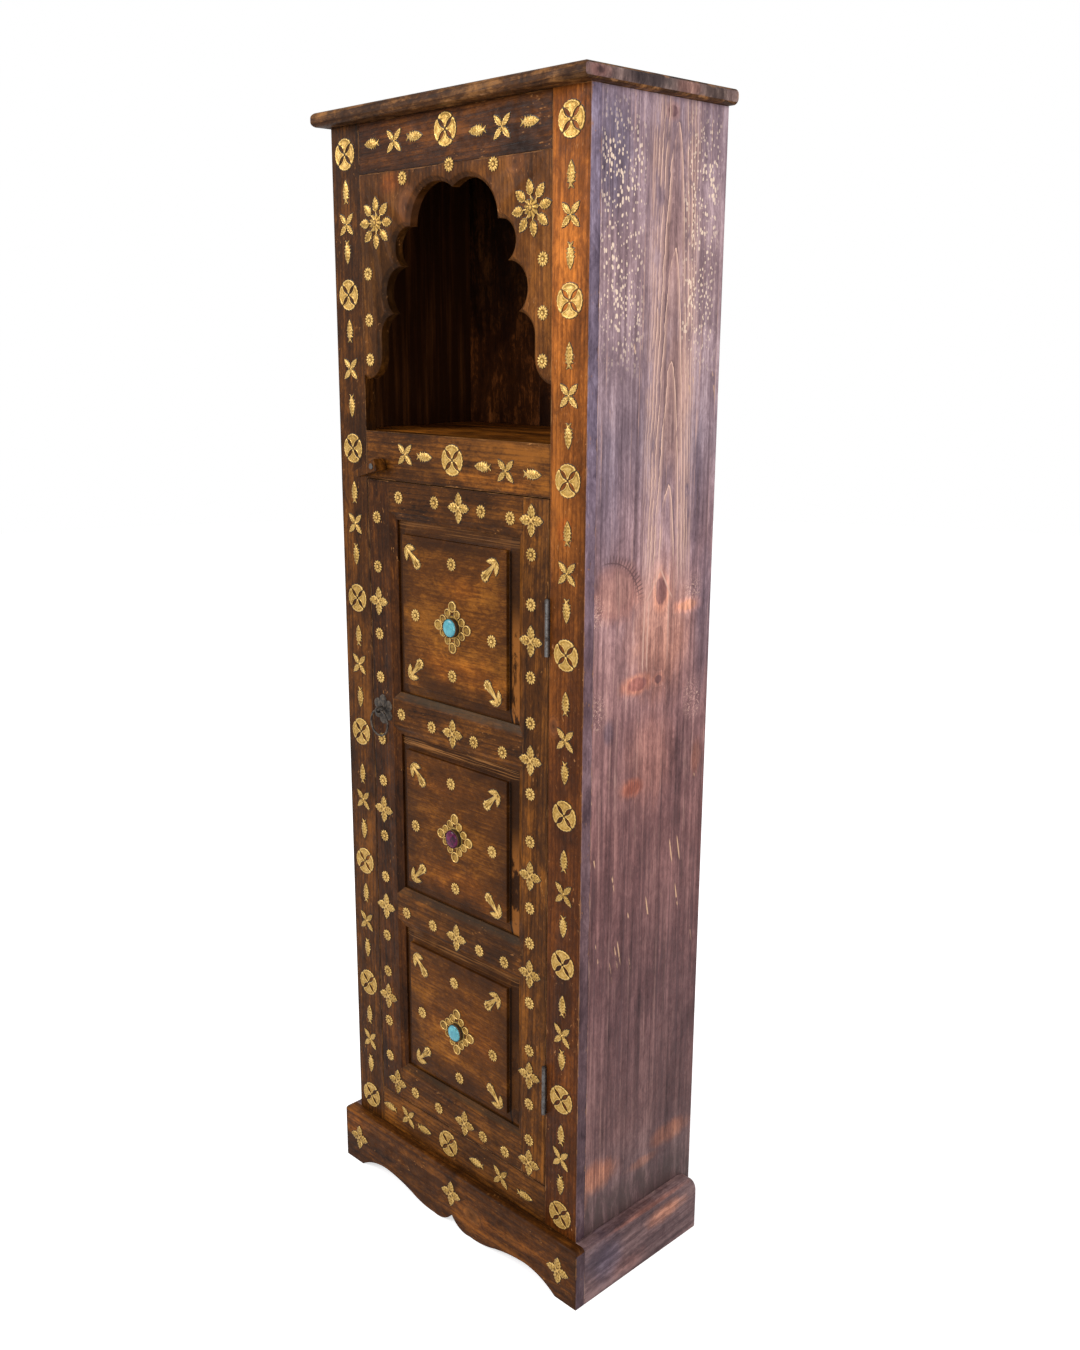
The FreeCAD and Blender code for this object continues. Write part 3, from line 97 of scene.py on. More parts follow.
class Graph:
    # Short calls that add nodes to one tree; a value may be a number, a vector, a colour or a wire
    def __init__(self, tree):
        self.tree = tree

    def put(self, socket, value):
        if isinstance(value, Wire):
            self.tree.links.new(value.socket, socket)
        else:
            socket.default_value = (*value, 1) if socket.type == "RGBA" else value

    def add(self, kind, values=(), output=None, **settings):
        # a new node, or the wire from one of its outputs
        node = self.tree.nodes.new(kind)
        for name, setting in settings.items():
            setattr(node, name, setting)
        for name, value in dict(values).items():
            self.put(node.inputs[name], value)
        return node if output is None else Wire(self, node.outputs[output])

    def outputs(self, node):
        return {socket.name: Wire(self, socket) for socket in node.outputs}

    def math(self, operation, *terms, clamp=False):
        # worked out on vectors where one of the terms is one
        wide = any(isinstance(term, tuple) or isinstance(term, Wire) and term.socket.type != "VALUE" for term in terms)
        node = self.add("ShaderNodeVectorMath" if wide else "ShaderNodeMath", enumerate(terms), operation=operation)
        if clamp:
            node.use_clamp = True
        return Wire(self, node.outputs["Vector" if wide and operation != "LENGTH" else "Value"])

    def highest(self, masks):
        whole = None
        for mask in masks:
            whole = mask if whole is None else self.math("MAXIMUM", whole, mask)
        return whole

    def ramp(self, value, low, high, start=0.0, end=1.0):
        # a smooth step from start at low to end at high
        values = {"Value": value, "From Min": low, "From Max": high, "To Min": start, "To Max": end}
        return self.add("ShaderNodeMapRange", values, 0, interpolation_type="SMOOTHSTEP")

    def between(self, value, low, high, soft):
        # 1 where the value lies between low and high, fading over soft
        return self.ramp(value, low - soft, low + soft) * self.ramp(value, high + soft, high - soft)

    def mix(self, factor, first, second, blend="MIX"):
        values = {"Factor": factor, 6: first, 7: second}
        return self.add("ShaderNodeMix", values, 2, data_type="RGBA", blend_type=blend, clamp_factor=True)

    def tint(self, factor, colour, shade):
        return self.mix(factor, colour, shade, "MULTIPLY")

    def noise(self, vector, scale, detail=2.0, seed=0.0, roughness=0.5, distortion=0.0, output=0):
        values = {"Vector": vector, "W": seed, "Scale": scale, "Detail": detail, "Roughness": roughness,
                  "Distortion": distortion}
        return self.add("ShaderNodeTexNoise", values, output, noise_dimensions="4D")

    def place(self):
        # each point's place on the object, whose origin is the frame's
        return self.add("ShaderNodeTexCoord", output="Object")

    def parts(self, vector):
        return self.outputs(self.add("ShaderNodeSeparateXYZ", {0: vector})).values()

    def shade(self, values, height=None, strength=0.0, distance=0.0):
        # fills in the material's own shader, with a bump where a height is given
        if height is not None:
            bump = {"Height": height, "Strength": strength, "Distance": distance}
            values = {**values, "Normal": self.add("ShaderNodeBump", bump, 0)}
        for name, value in values.items():
            self.put(self.tree.nodes["Principled BSDF"].inputs[name], value)


def startMaterial(name):
    material = bpy.data.materials.new(name)
    material.use_nodes = True
    return material, Graph(material.node_tree)


def link(name, data, matrix=None):
    piece = bpy.data.objects.new(name, data)
    if matrix is not None:
        piece.matrix_world = matrix
    bpy.context.scene.collection.objects.link(piece)
    return piece


def aimed(place, ahead):
    return Matrix.Translation(place) @ ahead.to_track_quat("-Z", "Y").to_matrix().to_4x4()


# Camera: where the photographer stood, in metres, with the lens centred near the cupboard's axis
camera = {
    "place": (1.485, -1.4575, 1.472),
    "yaw": 0.809,
    "pitch": -0.253,
    "roll": -0.003,
    "focalPixels": 1336,
    "centrePixel": (495, 681),
    "imageSize": (1080, 1350),
    "sensor": 36,
    "nearest": 0.05,
}


def addCamera(look):
    data = bpy.data.cameras.new("photoCamera")
    width, height = look["imageSize"]
    data.sensor_fit, data.sensor_width = "AUTO", look["sensor"]
    data.lens = look["focalPixels"] / height * look["sensor"]
    data.shift_x = (width / 2 - look["centrePixel"][0]) / height
    data.shift_y = (look["centrePixel"][1] - height / 2) / height
    data.clip_start = look["nearest"]
    yaw, pitch = look["yaw"], look["pitch"]
    ahead = Vector((-math.sin(yaw) * math.cos(pitch), math.cos(yaw) * math.cos(pitch), math.sin(pitch)))
    roll = Matrix.Rotation(look["roll"], 4, "Z")
    bpy.context.scene.camera = link("photoCamera", data, aimed(look["place"], ahead) @ roll)


addCamera(camera)

# Studio: soft white light from all round, a large lamp at the front left and a fill at the right
studio = {
    "worldLevel": 0.62,
    "lamps": (
        {"name": "keyLamp", "place": (-2.2, -3.4, 3.0), "aim": (0, 0, 0.9), "size": 2.4, "watts": 95},
        {"name": "sideLamp", "place": (3.6, -0.2, 2.4), "aim": (0.2, 0, 0.9), "size": 2.4, "watts": 60},
        {"name": "frontLamp", "place": (1.4, -3.8, 1.2), "aim": (0, 0, 0.8), "size": 2.2, "watts": 40},
    ),
    "floorRadius": 9,
    "floorCorners": 96,
    "floorShader": {"Base Color": (0.86, 0.86, 0.86), "Roughness": 0.9, "Specular IOR Level": 0.1},
    "floorGlow": 0.6,
}


def addStudio(look):
    world = bpy.data.worlds.new("studioWorld")
    bpy.context.scene.world = world
    world.use_nodes = True
    g = Graph(world.node_tree)
    seen = g.add("ShaderNodeLightPath", output="Is Camera Ray")
    level = g.add("ShaderNodeMapRange", {"Value": seen, "To Min": look["worldLevel"], "To Max": 1}, 0)
    background = g.tree.nodes["Background"]
    g.put(background.inputs["Color"], (1, 1, 1))
    g.put(background.inputs["Strength"], level)
    for lamp in look["lamps"]:
        data = bpy.data.lights.new(lamp["name"], "AREA")
        data.shape, data.size, data.energy = "DISK", lamp["size"], lamp["watts"]
        link(lamp["name"], data, aimed(lamp["place"], Vector(lamp["aim"]) - Vector(lamp["place"])))
    turns = np.linspace(0, 2 * np.pi, look["floorCorners"], endpoint=False)
    ring = look["floorRadius"] * np.stack([np.cos(turns), np.sin(turns), 0 * turns], axis=1)
    mesh = bpy.data.meshes.new("floor")
    mesh.from_pydata(ring.tolist(), [], [list(range(len(ring)))])
    material, g = startMaterial("paleFloor")
    g.shade(look["floorShader"])
    seen = g.add("ShaderNodeLightPath", output="Is Camera Ray")
    glow = g.add("ShaderNodeEmission", {"Strength": seen * look["floorGlow"]}, 0)
    pale = Wire(g, g.tree.nodes["Principled BSDF"].outputs[0])
    both = g.add("ShaderNodeAddShader", {0: pale, 1: glow}, 0)
    g.put(g.tree.nodes["Material Output"].inputs["Surface"], both)
    mesh.materials.append(material)
    link("floor", mesh)


addStudio(studio)
bpy.context.scene.view_settings.view_transform = "Standard"
print("camera and studio ready")

# Pine: growth rings round a far pith that swell round the knots, fibres, streaks and clouds of stain; the grain
# runs along Z
pine = {
    "inputs": ("Vector", "Seed", "Push", "Dark", "Mid", "Light", "Ring", "Streaks", "Cloud", "Smoke", "Lift"),
    "kinds": {"Vector": "Vector", "Dark": "Color", "Mid": "Color", "Light": "Color", "Color": "Color"},
    "ringScale": 40,
    "ringBend": {"Distortion": 0.8, "Detail": 3, "Detail Scale": 1.2},
    "warpScale": 2.6,
    "warpStretch": (1, 1, 0.22),
    "warpReach": 0.035,
    "fibreScale": (800, 800, 14),
    "streakScale": (75, 75, 2.6),
    "cloudScale": (13, 13, 5.5),
    "swirlScale": (46, 46, 22),
    "gritScale": (380, 380, 150),
    "smokeScale": (10, 10, 6),
    "grimeScale": 70,
}


def makePineGroup(look):
    group = bpy.data.node_groups.new("pine", "ShaderNodeTree")
    sides = {"INPUT": look["inputs"], "OUTPUT": ("Color", "Roughness", "Height", "Streak")}
    for way, names in sides.items():
        for name in names:
            kind = "NodeSocket" + look["kinds"].get(name, "Float")
            group.interface.new_socket(name, in_out=way, socket_type=kind)
    g = Graph(group)
    given = g.outputs(g.add("NodeGroupInput"))
    place, seed = given["Vector"], given["Seed"]
    warp = g.noise(place * look["warpStretch"], look["warpScale"], 2, seed, output="Color") - (0.5, 0.5, 0.5)
    bent = place + warp * (look["warpReach"], look["warpReach"], 0)
    waves = {"Vector": bent, "Scale": look["ringScale"], **look["ringBend"], "Phase Offset": given["Push"]}
    rings = g.add("ShaderNodeTexWave", waves, 1, wave_type="RINGS", rings_direction="Z", wave_profile="SAW")
    late = g.math("POWER", rings, 2.6)
    fibre = g.noise(place * look["fibreScale"], 1, 2, seed)
    streak = g.noise(bent * look["streakScale"], 1, 5, seed, 0.65)
    cloud = g.noise(place * look["cloudScale"], 1, 6, seed, 0.62, 0.8)
    swirl = g.noise(place * look["swirlScale"], 1, 6, seed, 0.7, 1.8)
    grit = g.noise(place * look["gritScale"], 1, 2, seed, 0.6)
    smoke = g.noise(place * look["smokeScale"], 1, 5, seed + 9.0, 0.6, 0.9)
    grime = g.noise(place, look["grimeScale"], 3, seed, 0.6)
    faint = g.ramp(swirl, 0.35, 0.6, 0.35, 1.0)
    ringPart = (0.28 - late) * given["Ring"] * faint
    streakPart = (streak - 0.5) * given["Streaks"]
    fibrePart = (fibre + grit - 1) * 0.55
    cloudPart = (cloud - 0.5) * given["Cloud"]
    swirlPart = (swirl - 0.5) * (given["Cloud"] * 0.75)
    tone = ringPart + streakPart + (fibrePart + cloudPart) + swirlPart + given["Lift"]
    low = g.mix(g.math("MULTIPLY", tone, 2, clamp=True), given["Dark"], given["Mid"])
    colour = g.mix(g.math("SUBTRACT", tone * 2, 1, clamp=True), low, given["Light"])
    colour = g.mix(g.ramp(smoke, 0.46, 0.64) * given["Smoke"], colour, given["Dark"])
    colour = g.mix(g.ramp(grime, 0.6, 0.78, 0, 0.45), colour, given["Dark"])
    rough = g.ramp(fibre, 0.3, 0.7, 0.38, 0.52) + g.ramp(grime, 0.35, 0.7, -0.06, 0.12)
    height = fibre * 0.5 + late * -0.35 + grime * 0.9
    g.add("NodeGroupOutput", {"Color": colour, "Roughness": rough, "Height": height, "Streak": streak})
    return group


pineGroup = makePineGroup(pine)

# What a board has unless its look says otherwise
plainBoard = {"ring": 0.3, "streaks": 1.2, "cloud": 1.6, "smoke": 0.6, "lift": 0.5, "knotRagged": 0.5, "knotPush": 17,
              "rimLevel": 0.6, "wornReach": 0.003, "wornLevel": 0.45, "gloss": 0.1, "shade": (1, 1, 1),
              "patches": (), "knots": (), "spots": (), "face": -0.1275, "sideways": False}

# Turns that lay each board's grain along Z
grainTurns = {"z": (0, 0, 0), "x": (0, math.pi / 2, 0), "y": (math.pi / 2, 0, 0)}


def growPine(g, look, vector, seed, push):
    values = {name: look[name.lower()] for name in pine["inputs"][3:]}
    node = g.add("ShaderNodeGroup", node_tree=pineGroup)
    for name, value in {"Vector": vector, "Seed": seed, "Push": push, **values}.items():
        g.put(node.inputs[name], value)
    return g.outputs(node)


def edgeDistance(g, place, low, high):
    # how far a surface point of a box is from the nearest edge: the middle one of its three face distances
    middle = (Vector(low) + Vector(high)) / 2
    half = (Vector(high) - Vector(low)) / 2
    x, y, z = g.parts(tuple(half) - abs(place - tuple(middle)))
    smaller, larger = g.math("MINIMUM", x, y), g.math("MAXIMUM", x, y)
    return g.math("MAXIMUM", smaller, g.math("MINIMUM", larger, z))


def onFace(look, spots):
    # rows of (across, up, reach across, reach up, ...) on the board's outer face, made places and sizes in space
    for across, up, wide, high, *rest in spots:
        if look["sideways"]:
            yield (look["face"], across, up), (1, wide, high), *rest
        else:
            yield (across, look["face"], up), (wide, 1, high), *rest


def farFrom(g, place, spot, size, ragged, reach):
    # distance from a spot in shares of a size, made uneven by a noise
    return g.math("LENGTH", (place - spot) / size) + (ragged - 0.5) * reach


def tintBy(g, z, stops):
    # shades set at shares of the height
    tint = g.add("ShaderNodeValToRGB", {0: z / tall})
    ramp = tint.color_ramp
    for element, (position, shade) in zip(ramp.elements, (stops[0], stops[-1])):
        element.position, element.color = position, (*shade, 1)
    for position, shade in stops[1:-1]:
        ramp.elements.new(position).color = (*shade, 1)
    return Wire(g, tint.outputs[0])


def makePine(name, look, box, features=()):
    material, g = startMaterial(name)
    place = g.place()
    seed = look["seed"]
    shift = look.get("pith", (0.11 * math.sin(seed * 2.3), 0.13 + 0.05 * math.sin(seed * 5.1), 0.7 * seed))
    lean = look.get("lean", (0.03 * math.sin(seed * 3.7), 0.03 * math.sin(seed * 1.9), 0))
    turned = g.add("ShaderNodeMapping", {"Vector": place, "Rotation": grainTurns[look["grain"]]}, 0)
    laid = g.add("ShaderNodeMapping", {"Vector": turned, "Location": shift, "Rotation": lean}, 0)
    rub = g.noise(place, 26, 4, seed + 3, 0.65)
    # the rings swell round each knot
    knots = [(farFrom(g, place, spot, size, rub, look["knotRagged"]), *rest)
             for spot, size, *rest in onFace(look, look["knots"])]
    push = 0.0
    for far, level, *_ in knots:
        push = push + g.ramp(far, 2.4, 0) * (look["knotPush"] * level)
    grain = growPine(g, look, laid, seed, push)
    colour, dark = grain["Color"], look["dark"]
    if "tints" in look:
        _, _, z = g.parts(place)
        colour = g.tint(1.0, colour, tintBy(g, z, look["tints"]))
    for spot, size, shade, level in onFace(look, look["patches"]):
        far = farFrom(g, place, spot, size, rub, 1.5)
        colour = g.tint(g.ramp(far, 1.2, 0.2) * level, colour, shade)
    for far, level, *shades in knots:
        if shades:
            # a knot that only tints the stain: its rim, then its heart
            colour = g.tint(g.ramp(far, 1.8, 1.0, 0, level), colour, shades[0])
            colour = g.tint(g.ramp(far, 1.05, 0.75, 0, level), colour, shades[1])
            continue
        colour = g.mix(g.ramp(far, 1.9, 0.9) * (0.5 * level), colour, look["halo"])
        colour = g.mix(g.ramp(far, 1.1, 0.6) * (0.6 * level), colour, look["heart"])
        colour = g.mix(g.between(far, 1.3, 1.4, 0.1) * (0.5 * level), colour, dark)
        colour = g.mix(g.ramp(far, 0.4, 0.15) * (0.7 * level), colour, dark)
    away = edgeDistance(g, place, *box)
    if "rim" in look:
        # stain gathers along the edges
        gathered = g.ramp(away / g.ramp(rub, 0.3, 0.7, 0.003, look["rim"]), 1, 0)
        colour = g.mix(gathered * look["rimLevel"], colour, dark)
    for feature in features:
        colour = feature(g, place, colour, grain, seed)
    if "fleck" in look:
        # small chips down to paler wood
        chip = g.noise(turned * (1, 1, 0.4), 300, 2, seed + 7, 0.5)
        where = g.ramp(rub, 0.50, 0.66)
        colour = g.mix(g.ramp(chip, 0.62, 0.68) * where * 0.75, colour, look["fleck"])
    if "worn" in look:
        reach = g.ramp(rub, 0.45, 0.75, 0.0002, look["wornReach"])
        colour = g.mix(g.ramp(away / reach, 1.2, 0.4) * look["wornLevel"], colour, look["worn"])
    values = {"Base Color": colour, "Roughness": grain["Roughness"], "Specular IOR Level": look["gloss"]}
    g.shade(values, grain["Height"], 0.55, 0.001)
    return material


def innerFaces(reach, look):
    # the faces of a side board that look into the cupboard carry the inside's dark stain
    def feature(g, place, colour, grain, seed):
        x, _, _ = g.parts(place)
        x = abs(x)
        dark = g.mix(g.ramp(grain["Streak"], 0.45, 0.85), look["mid"], look["light"])
        return g.mix(g.ramp(x, reach, reach - 0.0008), colour, dark)
    return feature


def backFaces(depth, look):
    # the cupboard's back has only a thin even wash
    def feature(g, place, colour, grain, seed):
        wash = g.mix(g.ramp(grain["Streak"], 0.3, 0.7), look["wash"], look["washLight"])
        _, y, _ = g.parts(place)
        return g.mix(g.ramp(y, depth - 0.0008, depth), colour, wash)
    return feature


def outerFaces(reach, look):
    # the faces of a front board that look out sideways take the sides' grain and spots, and the sides' lavender
    # colour, which is partly painted sky reflection
    def feature(g, place, colour, grain, seed):
        x, _, z = g.parts(place)
        sideGrainAndSheen = growPine(g, look, place, seed, 0)
        tinted = g.tint(1.0, sideGrainAndSheen["Color"], tintBy(g, z, look["tints"]))
        for spot, size, shade, level in onFace(look, look["spots"]):
            far = farFrom(g, place, spot, size, sideGrainAndSheen["Streak"], 1.5)
            tinted = g.tint(g.ramp(far, 1.3, 0.5, 0, level), tinted, shade)
        return g.mix(g.ramp(abs(x), reach - 0.0006, reach), colour, tinted)
    return feature


def deepFaces(depth, level):
    # the cut edges behind a board's front are darker
    def feature(g, place, colour, grain, seed):
        _, y, _ = g.parts(place)
        return g.tint(g.ramp(y, depth + 0.0003, depth + 0.0018, 0, level), colour, (0.22, 0.26, 0.34))
    return feature


def sideStain(side):
    # a tall side board: salmon and blue-grey areas, pale arched growth lines, cream specks in two bands, dark lines
    # and scratches below, a burnt foot
    def feature(g, place, colour, grain, seed):
        _, y, z = g.parts(place)
        ragged = g.noise(place, side["raggedScale"], 4, seed, 0.65)
        uneven = g.noise(place * side["unevenScale"], 1, 4, seed + 1, 0.65, 0.5)
        fine = g.noise(place * side["fineScale"], 1, 4, seed + 2, 0.6)
        shaky = (ragged - 0.5) * 0.09

        def area(spots):
            # how strongly a place lies in one of a few soft uneven spots
            return g.highest(g.ramp(farFrom(g, place, spot, size, uneven, 1.1), 1.3, 0.4, 0, level)
                             for spot, size, level in onFace(side, spots))

        colour = g.tint(area(side["blush"]), colour, side["blushShade"])
        colour = g.tint(area(side["blue"]), colour, side["blueShade"])
        # arches: z + curve * (y - middle)^2 is the same all along one growth line
        curve, spacing = side["archCurve"], side["archSpacing"]
        away = y - (side["archMiddle"] + shaky * 0.12)
        level = z + shaky * 0.9 + away * away * curve
        share = g.math("FRACT", (level - side["archTip"]) / spacing)
        steep = 1 + abs(away) * (2 * curve)
        line = (1 - share) * spacing / steep
        below = share * spacing / steep
        near = g.ramp(abs(away), side["archReach"], side["archReach"] * 0.5)
        within = g.between(z, *side["archSpan"], 0.05)
        arches = near * within * g.ramp(uneven, 0.34, 0.52)
        colour = g.mix(g.ramp(line, 0.012, 0.0) * arches * 0.6, colour, side["vein"])
        colour = g.mix(g.ramp(line, 0.0022, 0.0008) * arches * 0.85, colour, side["veinLight"])
        colour = g.mix(g.ramp(below, 0.0024, 0.0006) * arches * 0.35, colour, side["dusk"])
        threads = g.ramp(fine, 0.57, 0.65) * g.ramp(uneven, 0.4, 0.6, 0.15, 0.55)
        for middle in side["fork"]:
            prong = g.ramp(abs(away - middle), 0.0022, 0.0006, 0, 0.8)
            threads = g.math("MAXIMUM", threads, prong * g.between(z, *side["forkSpan"], 0.012))
        # a pointed pair of pale lines over one knot
        peakY, peakZ = side["peak"]
        drop = (peakZ - z) * side["peakSlope"]
        legs = abs(abs(y + shaky * 0.05 - peakY) - drop)
        peak = g.ramp(legs, 0.0026, 0.0008) * g.between(z, peakZ - side["peakTall"], peakZ, 0.004)
        threads = g.math("MAXIMUM", threads, peak * 0.8)
        threads = threads * g.ramp(z, 0.6, 1.0, 0.3, 1)
        colour = g.mix(threads, colour, side["vein"])
        lower = g.ramp(z + shaky, side["lowerTop"] + 0.08, side["lowerTop"] - 0.12, 0.4, 1)
        colour = g.mix(g.ramp(fine, 0.46, 0.36) * lower * 0.75, colour, side["dusk"])
        # bark curls: short dark and pale strokes beside the knots
        curls = g.noise(place * side["curlScale"], 1, 2, seed + 6, 0.5, 2.0)
        bark = area(side["curls"])
        colour = g.mix(bark * g.ramp(curls, 0.46, 0.38), colour, side["dusk"])
        colour = g.mix(bark * g.ramp(curls, 0.55, 0.63), colour, side["veinLight"])
        # specks
        dots = {"Vector": place * (1, 1, 0.6), "Scale": side["speckScale"]}
        dotted = g.add("ShaderNodeTexVoronoi", dots, "Distance")
        worn = g.ramp(g.noise(place, 34, 3, seed + 5, 0.6), 0.30, 0.46)
        band = g.highest(g.between(y + shaky * 0.4, *ends, 0.012) for ends in side["speckBands"])
        band = band * g.between(z + shaky, *side["speckSpan"], 0.06)
        size = g.ramp(uneven, 0.35, 0.65, 0.22, 0.44)
        specks = band * worn * g.ramp(dotted - size, 0.02, -0.08)
        colour = g.mix(specks * 0.85, colour, side["cream"])
        # scratches
        slanted = y + z * side["slant"]
        flat = g.add("ShaderNodeCombineXYZ", {0: slanted * side["scratchesAcross"], 1: z * side["scratchesUp"]}, 0)
        nick = g.add("ShaderNodeTexVoronoi", {"Vector": flat, "Scale": 1}, "Distance", voronoi_dimensions="2D")
        spans = g.highest(g.between(z, *span, 0.04) for span in side["scratchSpans"])
        scratches = g.ramp(nick, 0.105, 0.075) * (spans * g.ramp(ragged, 0.50, 0.54))
        colour = g.mix(scratches * 0.8, colour, side["scratch"])
        foot = z + shaky * 0.9
        colour = g.tint(area(side["embers"]), colour, side["emberShade"])
        # a crack bends round the big knot, with short splits across it
        knotY, knotZ = (one - spot for one, spot in zip((y, z), side["crackMiddle"]))
        turn = g.math("ARCTAN2", knotZ, knotY)
        out = g.math("SQRT", knotY * knotY + knotZ * knotZ) - (side["crackReach"] + shaky * 0.06)
        splits = g.ramp(g.math("SINE", turn * side["splits"]), 0.1, 0.8) * g.between(out, -0.004, 0.011, 0.003)
        crack = g.math("MAXIMUM", g.ramp(abs(out), 0.0016, 0.0006), splits)
        crack = crack * g.between(turn, *side["crackTurns"], 0.2)
        colour = g.mix(crack * 0.7, colour, side["dusk"])
        burnt = g.ramp(foot, side["burn"] + 0.03, side["burn"] - 0.03) * g.ramp(uneven, 0.62, 0.42, 0.25, 0.85)
        return g.mix(burnt, colour, side["burnt"])
    return feature


# Places on the sides are (y, z)
side = {
    "face": 0.269,
    "sideways": True,
    "raggedScale": 14,
    "unevenScale": (60, 60, 16),
    "fineScale": (1, 260, 3.2),
    "curlScale": (1, 240, 190),
    "blush": ((0.045, 1.58, 0.022, 0.16, 0.5), (0.055, 1.38, 0.036, 0.12, 0.8),
              (0.04, 1.05, 0.07, 0.11, 0.9), (-0.02, 0.98, 0.035, 0.018, 0.8),
              (-0.02, 0.825, 0.03, 0.02, 0.8), (0.131, 0.84, 0.014, 0.03, 1.0),
              (0.02, 0.86, 0.06, 0.08, 0.5)),
    "blushShade": (1.32, 1.12, 0.86),
    "blue": ((-0.085, 1.70, 0.045, 0.09, 0.9), (0.14, 1.05, 0.025, 0.12, 0.9),
             (-0.074, 0.919, 0.012, 0.02, 1.0), (0.10, 1.25, 0.03, 0.12, 0.5),
             (-0.085, 1.25, 0.03, 0.10, 0.6)),
    "blueShade": (0.57, 0.65, 0.78),
    "archCurve": 330,
    "archMiddle": 0.045,
    "archTip": 1.752,
    "archSpacing": 0.16,
    "archReach": 0.062,
    "archSpan": (1.14, 1.77),
    "vein": (0.60, 0.36, 0.29),
    "veinLight": (0.80, 0.52, 0.40),
    "dusk": (0.085, 0.042, 0.046),
    "lowerTop": 0.86,
    "speckBands": ((-0.105, -0.022), (0.068, 0.137)),
    "speckSpan": (1.45, 1.74),
    "speckScale": 205,
    "cream": (0.86, 0.66, 0.50),
    "slant": 0.20,
    "scratchesAcross": 60,
    "scratchesUp": 4.4,
    "scratchSpans": ((0.55, 0.83), (1.39, 1.46)),
    "scratch": (0.66, 0.40, 0.24),
    "peak": (0.033, 1.146),
    "peakSlope": 0.62,
    "peakTall": 0.045,
    "curls": ((-0.104, 1.098, 0.020, 0.026, 0.6), (0.112, 1.108, 0.022, 0.020, 0.5),
              (-0.098, 0.955, 0.020, 0.030, 0.5), (0.118, 0.938, 0.022, 0.034, 0.5)),
    "fork": (-0.046, -0.037),
    "forkSpan": (1.0, 1.10),
    "embers": ((-0.085, 0.197, 0.050, 0.028, 0.9), (-0.115, 0.165, 0.014, 0.03, 0.7),
               (0.03, 0.172, 0.04, 0.010, 0.5), (0.095, 0.198, 0.050, 0.020, 0.8)),
    "emberShade": (2.1, 1.5, 0.95),
    "crackMiddle": (-0.078, 1.100),
    "crackReach": 0.066,
    "crackTurns": (0.15, 1.75),
    "splits": 70,
    "burn": 0.160,
    "burnt": (0.064, 0.040, 0.038),
}


def panelStain(look):
    # a raised panel: smoky edges, a nearly black border at the right with bare orange patches in its lower part,
    # thin rubbed lines along the top slope, and a black line at the right step that is a painted shadow of the step
    def feature(g, place, colour, grain, seed):
        x, _, z = g.parts(place)
        low, high = look["field"]
        right = x - high[0]
        across = abs(x) - high[0]
        up = z - high[2]
        down = low[2] - z
        out = g.math("MAXIMUM", across, g.math("MAXIMUM", up, down))
        lines = g.noise(place * look["lineScale"], 1, 4, seed + 4, 0.6, 0.3)
        bare = g.noise(place * look["bareScale"], 1, 4, seed + 8, 0.66, 0.6)
        inside = g.ramp(out, -0.05, 0.0)
        ragged = g.ramp(g.noise(place, 18, 4, seed + 6, 0.6), 0.3, 0.6)
        colour = g.mix(inside * ragged * 0.7, colour, look["dark"])
        slope = g.ramp(out, 0.0, 0.003) * (0.35 + g.ramp(across, 0, 0.002) * 0.5)
        colour = g.mix(slope, colour, look["dark"])
        patch = g.ramp(right, 0.002, 0.006) * g.ramp(bare, 0.42, 0.50)
        patch = patch * g.ramp(z - (low[2] + high[2]) / 2, 0.05, -0.02)
        colour = g.mix(patch * look["bareLevel"], colour, look["bare"])
        upper = g.between(up, 0.004, 0.019, 0.003) * g.ramp(lines, 0.48, 0.60)
        colour = g.mix(upper * look["rubLevel"], colour, look["rubbed"])
        # painted shadow: a black line just right of the field, below its top, where the raised field's edge casts shade
        seam = g.between(right, 0.0, 0.0036, 0.001) * g.ramp(up, 0.003, -0.002)
        return g.mix(seam * 0.9, colour, look["seam"])
    return feature


def bevelSheen(front, middle, shade):
    # bevels that face upwards get a painted grey-olive sheen, the pale sky's reflection, streaked along the grain
    def feature(g, place, colour, grain, seed):
        _, y, z = g.parts(place)
        mask = g.ramp(y, front + 0.0004, front + 0.0016) * g.ramp(z, middle, middle + 0.001)
        return g.mix(mask * g.ramp(grain["Streak"], 0.35, 0.65, 0.2, 0.75), colour, shade)
    return feature


def smooth(mesh, angle):
    mesh.polygons.foreach_set("use_smooth", np.ones(len(mesh.polygons), dtype=bool))
    mesh.set_sharp_from_angle(angle=math.radians(angle))


def copyOf(node, suffix):
    mesh = bpy.data.meshes.new(node + suffix)
    shape = bmesh.new()
    shape.from_mesh(cadNodes[node].data)
    bmesh.ops.remove_doubles(shape, verts=shape.verts, dist=1e-6)
    bmesh.ops.dissolve_limit(shape, angle_limit=math.radians(0.6), verts=shape.verts, edges=shape.edges)
    bmesh.ops.recalc_face_normals(shape, faces=shape.faces)
    shape.to_mesh(mesh)
    shape.free()
    smooth(mesh, 32)
    return link(node + suffix, mesh)


def closeSeams(piece, left, right):
    # the plank is widened to meet its neighbours, so that no light shows through the seams
    points = np.empty(len(piece.data.vertices) * 3)
    piece.data.vertices.foreach_get("co", points)
    points = points.reshape(-1, 3)
    low, high = points[:, 0].min(), points[:, 0].max()
    points[:, 0] = np.where(points[:, 0] < low + 1e-5, left, np.where(points[:, 0] > high - 1e-5, right, points[:, 0]))
    piece.data.vertices.foreach_set("co", points.ravel())
    piece.data.update()
    return piece


def ease(piece, width, segments=2):
    # edges eased, as a plane and sandpaper leave them
    eased = piece.modifiers.new("ease", "BEVEL")
    eased.width = width
    eased.segments = segments
    eased.limit_method = "ANGLE"
    eased.angle_limit = math.radians(40)
    return piece


slots = {part["node"]: part["material_slot"] for part in frame["record"]["subparts"]}


